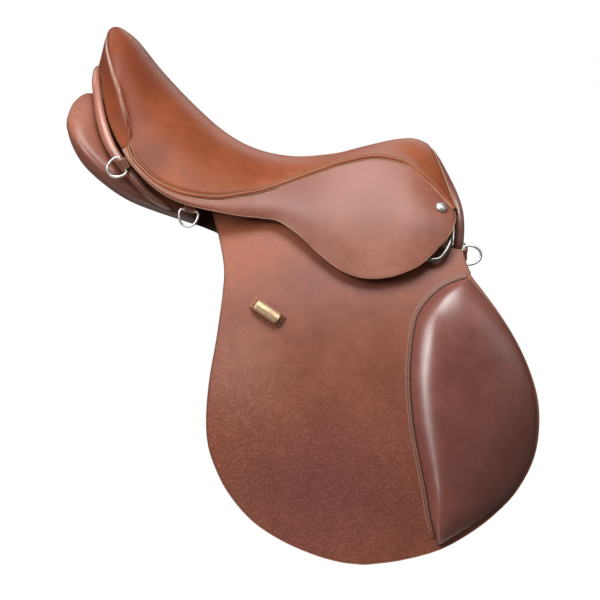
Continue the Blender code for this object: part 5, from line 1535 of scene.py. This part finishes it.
facing_spots = [curve_at(mirrored_path(FACING_PATH), f) for f in even(FACING_LOOPS)]
facing_out = []
for k in range(FACING_LOOPS):
    along = facing_spots[min(k + 1, FACING_LOOPS - 1)] - facing_spots[max(k - 1, 0)]
    facing_out.append(Vector((0.0, -along.z, along.y)).normalized())
facing_sizes = round_ends(FACING_LOOPS, FACING_ROUND_LOOPS)
facing_loops = section_loops(
    facing_spots, facing_out, FACING_DEPTH, FACING_THICKNESS, FACING_POWER, facing_sizes)
facing_hide = leather(
    "facing_calf", (0.20, 0.066, 0.046), (0.29, 0.105, 0.074), 0.36, grain=0.22, coat=0.35, specular=0.6)
facing = loft_piece("pommel_facing_roll", facing_loops, 1.0, facing_hide, edge=uncut(facing_loops))
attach(facing, "saddle")
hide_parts("pommel_facing")
front_welt_path = []
for share in even(81, -1.0, 1.0):
    spot = seat_line(0, abs(share)) + FRONT_WELT_PLACE
    front_welt_path.append(Vector((spot.x, math.copysign(spot.y, share), spot.z)))
front_welt_loops = tube_loops(front_welt_path, FRONT_WELT_RADIUS, FRONT_WELT_SIDES)
front_welt = loft_piece("pommel_welt", front_welt_loops, 1.0, piping)
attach(front_welt, "saddle")

# Rear roll
# A roll of felt covered in smooth calf, from one side round under the cantle to the other. It fills the
# joint between the seat and the panels and is sewn to both, thinner towards its ends.

ROLL_PATH = [
    (-0.2262, 0.000, 0.1790), (-0.2222, 0.040, 0.1635), (-0.2145, 0.063, 0.1447), (-0.2020, 0.088, 0.1180),
    (-0.1870, 0.1035, 0.0950), (-0.1720, 0.1130, 0.0800), (-0.1530, 0.1185, 0.0640),
    (-0.1310, 0.1220, 0.0480), (-0.1040, 0.1240, 0.0375),
]
ROLL_WIDTH = 0.0125
ROLL_THICKNESS = 0.0104
ROLL_LOOPS = 181
ROLL_ROUND_LOOPS = 6
ROLL_POWER = 0.85
ROLL_FACES = Vector((-0.45, 0.75, -0.55))
ROLL_TURNS_OVER = 0.1
ROLL_END_SIZE = 0.62
ROLL_END_SHARE = 0.22
ROLL_MIDDLE_SIZE = 0.88
ROLL_MIDDLE_SHARE = 0.12

roll_spots = [curve_at(mirrored_path(ROLL_PATH), f) for f in even(ROLL_LOOPS)]
roll_out = []
for spot in roll_spots:
    sideways = math.copysign(min(abs(spot.y) / ROLL_TURNS_OVER, 1.0), spot.y)
    roll_out.append(Vector((ROLL_FACES.x, ROLL_FACES.y * sideways, ROLL_FACES.z)))
roll_sizes = []
for k, size in enumerate(round_ends(ROLL_LOOPS, ROLL_ROUND_LOOPS)):
    end = min(k, ROLL_LOOPS - 1 - k) / (ROLL_LOOPS - 1)
    size *= ROLL_END_SIZE + (1 - ROLL_END_SIZE) * min(end / ROLL_END_SHARE, 1.0)
    size *= ROLL_MIDDLE_SIZE + (1 - ROLL_MIDDLE_SIZE) * min((0.5 - end) / ROLL_MIDDLE_SHARE, 1.0)
    roll_sizes.append(size)
roll_loops = section_loops(roll_spots, roll_out, ROLL_WIDTH, ROLL_THICKNESS, ROLL_POWER, roll_sizes)
# Its patch is painted shade, near-black at the roll's lower end in the gap behind the flap.
roll_hide = leather(
    "roll_calf", (0.31, 0.108, 0.070), (0.43, 0.170, 0.112), 0.34, grain=0.15, coat=0.65, specular=0.6,
    painted_light_patches=[(-0.125, 0.035, 0.095, (0.105, 0.032, 0.020), 0.95)])
roll = loft_piece("rear_roll_cover", roll_loops, 1.0, roll_hide, edge=uncut(roll_loops))
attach(roll, "saddle")
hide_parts("rear_roll")

# Stirrup bars
# Forged steel bars riveted to the head of the tree, which carry the stirrup leathers. Each has a hinged
# catch that closes its rear end, in the same dark steel.

BAR_RADIUS = 0.0027
BAR_SIDES = 16
BAR_LOOPS = 80
BAR_ROUND_LOOPS = 3
BAR_ENDS_POWER = 0.5
BAR_PATH = [
    (0.1962, 0.0939, 0.0733), (0.205, 0.109, 0.071), (0.208, 0.1240, 0.064), (0.2055, 0.1325, 0.0520),
    (0.199, 0.1370, 0.0410), (0.186, 0.1374, 0.0380), (0.170, 0.1362, 0.0380), (0.158, 0.1353, 0.0380),
    (0.140, 0.1325, 0.0380), (0.119, 0.1298, 0.0380),
]

forged = Finish("forged_steel", 0.34, metallic=1.0)
scale_marks = forged.noise(260.0, 5.0, 0.65)
forged.put("Base Color", forged.mix(scale_marks, (0.13, 0.12, 0.11), (0.30, 0.29, 0.27)))
forged.put("Roughness", scale_marks * 0.25 + 0.22)
forged.bump(scale_marks, 0.0001, 0.5)
bar_spots = [curve_at(BAR_PATH, f) for f in even(BAR_LOOPS)]
bar_radii = []
for k in range(BAR_LOOPS):
    end = min((k + 0.5) / BAR_ROUND_LOOPS, (BAR_LOOPS - 0.5 - k) / BAR_ROUND_LOOPS, 1.0)
    bar_radii.append(BAR_RADIUS * rounded(end, BAR_ENDS_POWER))
bar_loops = tube_loops(bar_spots, bar_radii, BAR_SIDES)
for name, side in SIDES:
    bar = loft_piece("stirrup_bar_steel_" + name, bar_loops, side, forged)
    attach(bar, "saddle")
    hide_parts("stirrup_bar_" + name)
    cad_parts["bar_catch_" + name].material_slots[0].material = forged.material

# Rings
# Round steel wire bent to a D and brazed shut, to strap a bag or a breastplate to: two behind and one in
# front on each side. Each hangs in a folded leather tab sewn to the saddle.

DEE_WIDTH = 0.021
DEE_REACH = 0.018
DEE_WIRE = 0.0014
DEE_SIDES = 14
DEE_STRAIGHT_SHARE = 0.94
DEE_BOW_WIDTH = 1.04
DEE_BOW_POWER = 0.8
DEE_CORNER = 0.03 * math.pi
DEE_SMOOTH_PASSES = 3
# Each ring: middle of its bar, direction of the bar, direction in which it hangs, length of its tab.
DEE_PLACES = {
    "rear_upper": ((-0.1668, 0.1248, 0.0768), (0.65, 0.0, -0.76), (-0.745, 0.12, -0.637), 0.0060),
    "rear_lower": ((-0.0840, 0.1286, 0.0410), (1.0, 0.0, 0.0), (0.0, 0.05, -1.0), 0.0140),
    "front": ((0.2270, 0.1150, 0.0500), (0.19, 0.0, -0.98), (0.98, 0.05, 0.19), 0.0110),
}
TAB_WIDTH = 0.012
TAB_LEATHER = 0.0011
TAB_GAP = 0.0006
TAB_FOLD_GAP = 0.00005
TAB_WRAP = 0.80 * math.pi
# Outer and inner face of a tab: its radius round the ring's bar, and how far it lies from the fold's middle.
TAB_LAYERS = ((DEE_WIRE + TAB_GAP + TAB_LEATHER, TAB_LEATHER), (DEE_WIRE + TAB_GAP, TAB_FOLD_GAP))

steel = Finish("polished_steel", 0.35, metallic=1.0)
haze = steel.noise(180.0, 4.0, 0.6)
wipe = steel.noise(500.0, 3.0, 0.6, stretch=(1.0, 0.2, 1.0))
steel.put("Base Color", steel.mix(haze, (0.80, 0.78, 0.75), (0.93, 0.91, 0.88)))
steel.put("Roughness", haze * 0.16 + wipe * 0.08 + 0.26)
steel.bump(wipe, 0.00004, 0.4)
tab_hide = leather("tab_leather", (0.12, 0.040, 0.024), (0.19, 0.066, 0.038), 0.45, grain=0.3)
for kind, (middle, bar_way, hang, tab_length) in DEE_PLACES.items():
    middle = Vector(middle)
    bar_way = Vector(bar_way).normalized()
    hang = Vector(hang)
    hang = (hang - bar_way * hang.dot(bar_way)).normalized()
    face = bar_way.cross(hang)
    half = DEE_WIDTH / 2
    straight = even(24, -DEE_STRAIGHT_SHARE, DEE_STRAIGHT_SHARE)
    ring_path = [middle + bar_way * half * share for share in straight]
    for angle in even(72, DEE_CORNER, math.pi - DEE_CORNER):
        reach = DEE_REACH * math.sin(angle) ** DEE_BOW_POWER + DEE_WIRE / 2
        ring_path.append(middle + bar_way * half * DEE_BOW_WIDTH * math.cos(angle) + hang * reach)
    for _ in range(DEE_SMOOTH_PASSES):
        around = zip(ring_path[-1:] + ring_path[:-1], ring_path, ring_path[1:] + ring_path[:1])
        ring_path = [(one + here * 2 + two) / 4 for one, here, two in around]
    ring_loops = tube_loops(ring_path, DEE_WIRE, DEE_SIDES, closed=True)
    tail = -hang * tab_length
    layers = []
    for radius, from_fold in TAB_LAYERS:
        wrap = [(hang * math.cos(a) + face * math.sin(a)) * radius for a in even(25, -TAB_WRAP, TAB_WRAP)]
        there = [(tail - face * from_fold).lerp(wrap[0], t) for t in even(10)[:-1]]
        back = [wrap[-1].lerp(tail + face * from_fold, t) for t in even(10)[1:]]
        layers.append(there + wrap + back)
    outside, inside = layers
    for name, side in SIDES:
        ring = loft_piece("ring_" + kind + "_" + name, ring_loops, side, steel, closed=True)
        body = "dee_" + kind + "_" + name
        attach(ring, body)
        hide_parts(body)
        outer = []
        inner = []
        for share in even(13, -1.0, 1.0):
            offset = middle + bar_way * share * TAB_WIDTH / 2
            outer.append([tuple(offset + p) for p in outside])
            inner.append([tuple(offset + p) for p in inside])
        tab = sheet_piece("tab_" + kind + "_" + name, outer, inner, side, tab_hide, rim=0.0002)
        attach(tab, "saddle")
        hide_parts("dee_tab_" + kind + "_" + name)

# Saddle nails
# A domed steel nail through each skirt's front corner into the head of the tree, driven home last. Its
# head is polished and lies square to the leather.

NAIL_PLACE = Vector((0.191, 0.0, 0.0965))
NAIL_RADIUS = 0.0068
NAIL_HEIGHT = 0.0045
NAIL_GAP = 0.0003
NAIL_STEP = 0.02
NAIL_SIDES = 32
# Rim of a nail's head from the leather up: share of its height, share of its radius.
NAIL_RIM = [(0.0, 0.90), (0.02, 0.98), (0.10, 1.0), (0.2, 0.97)]


def nail_miss(choice):
    """How far a place of the skirt lies from where the nail goes, seen from the side."""
    spot = choice[2]
    return (spot.x - NAIL_PLACE.x) ** 2 + (spot.z - NAIL_PLACE.z) ** 2


nail_ends = [(f, skirt_ends(f)) for f in even(60, 0.0, 0.3)]
nail_choices = [(f, d, skirt_spot(ends, d)) for f, ends in nail_ends for d in even(60, 0.02, 0.98)]
nail_fraction, nail_drop, nail_seat = min(nail_choices, key=nail_miss)
nail_along = skirt_spot(skirt_ends(nail_fraction + NAIL_STEP), nail_drop) - nail_seat
nail_down = skirt_spot(skirt_ends(nail_fraction), nail_drop + NAIL_STEP) - nail_seat
nail_axis = nail_along.cross(nail_down).normalized()
nail_axis = nail_axis if nail_axis.y > 0 else -nail_axis
nail_east = nail_axis.orthogonal().normalized()
nail_north = nail_axis.cross(nail_east)
rim_level, rim_radius = NAIL_RIM[-1]
nail_profile = list(NAIL_RIM)
for share in even(9, 0.1, 0.96):
    angle = share * math.pi / 2
    nail_profile.append((rim_level + (1 - rim_level) * math.sin(angle), rim_radius * math.cos(angle)))
nail_loops = []
for level, radius in nail_profile:
    loop = []
    for n in range(NAIL_SIDES):
        angle = 2 * math.pi * n / NAIL_SIDES
        spread = (nail_east * math.cos(angle) + nail_north * math.sin(angle)) * NAIL_RADIUS * radius
        loop.append(nail_seat + nail_axis * (NAIL_GAP + NAIL_HEIGHT * level) + spread)
    nail_loops.append(loop)
for name, side in SIDES:
    nail = loft_piece("nail_" + name, nail_loops, side, steel)
    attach(nail, "saddle")
    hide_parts("skirt_nail_" + name)
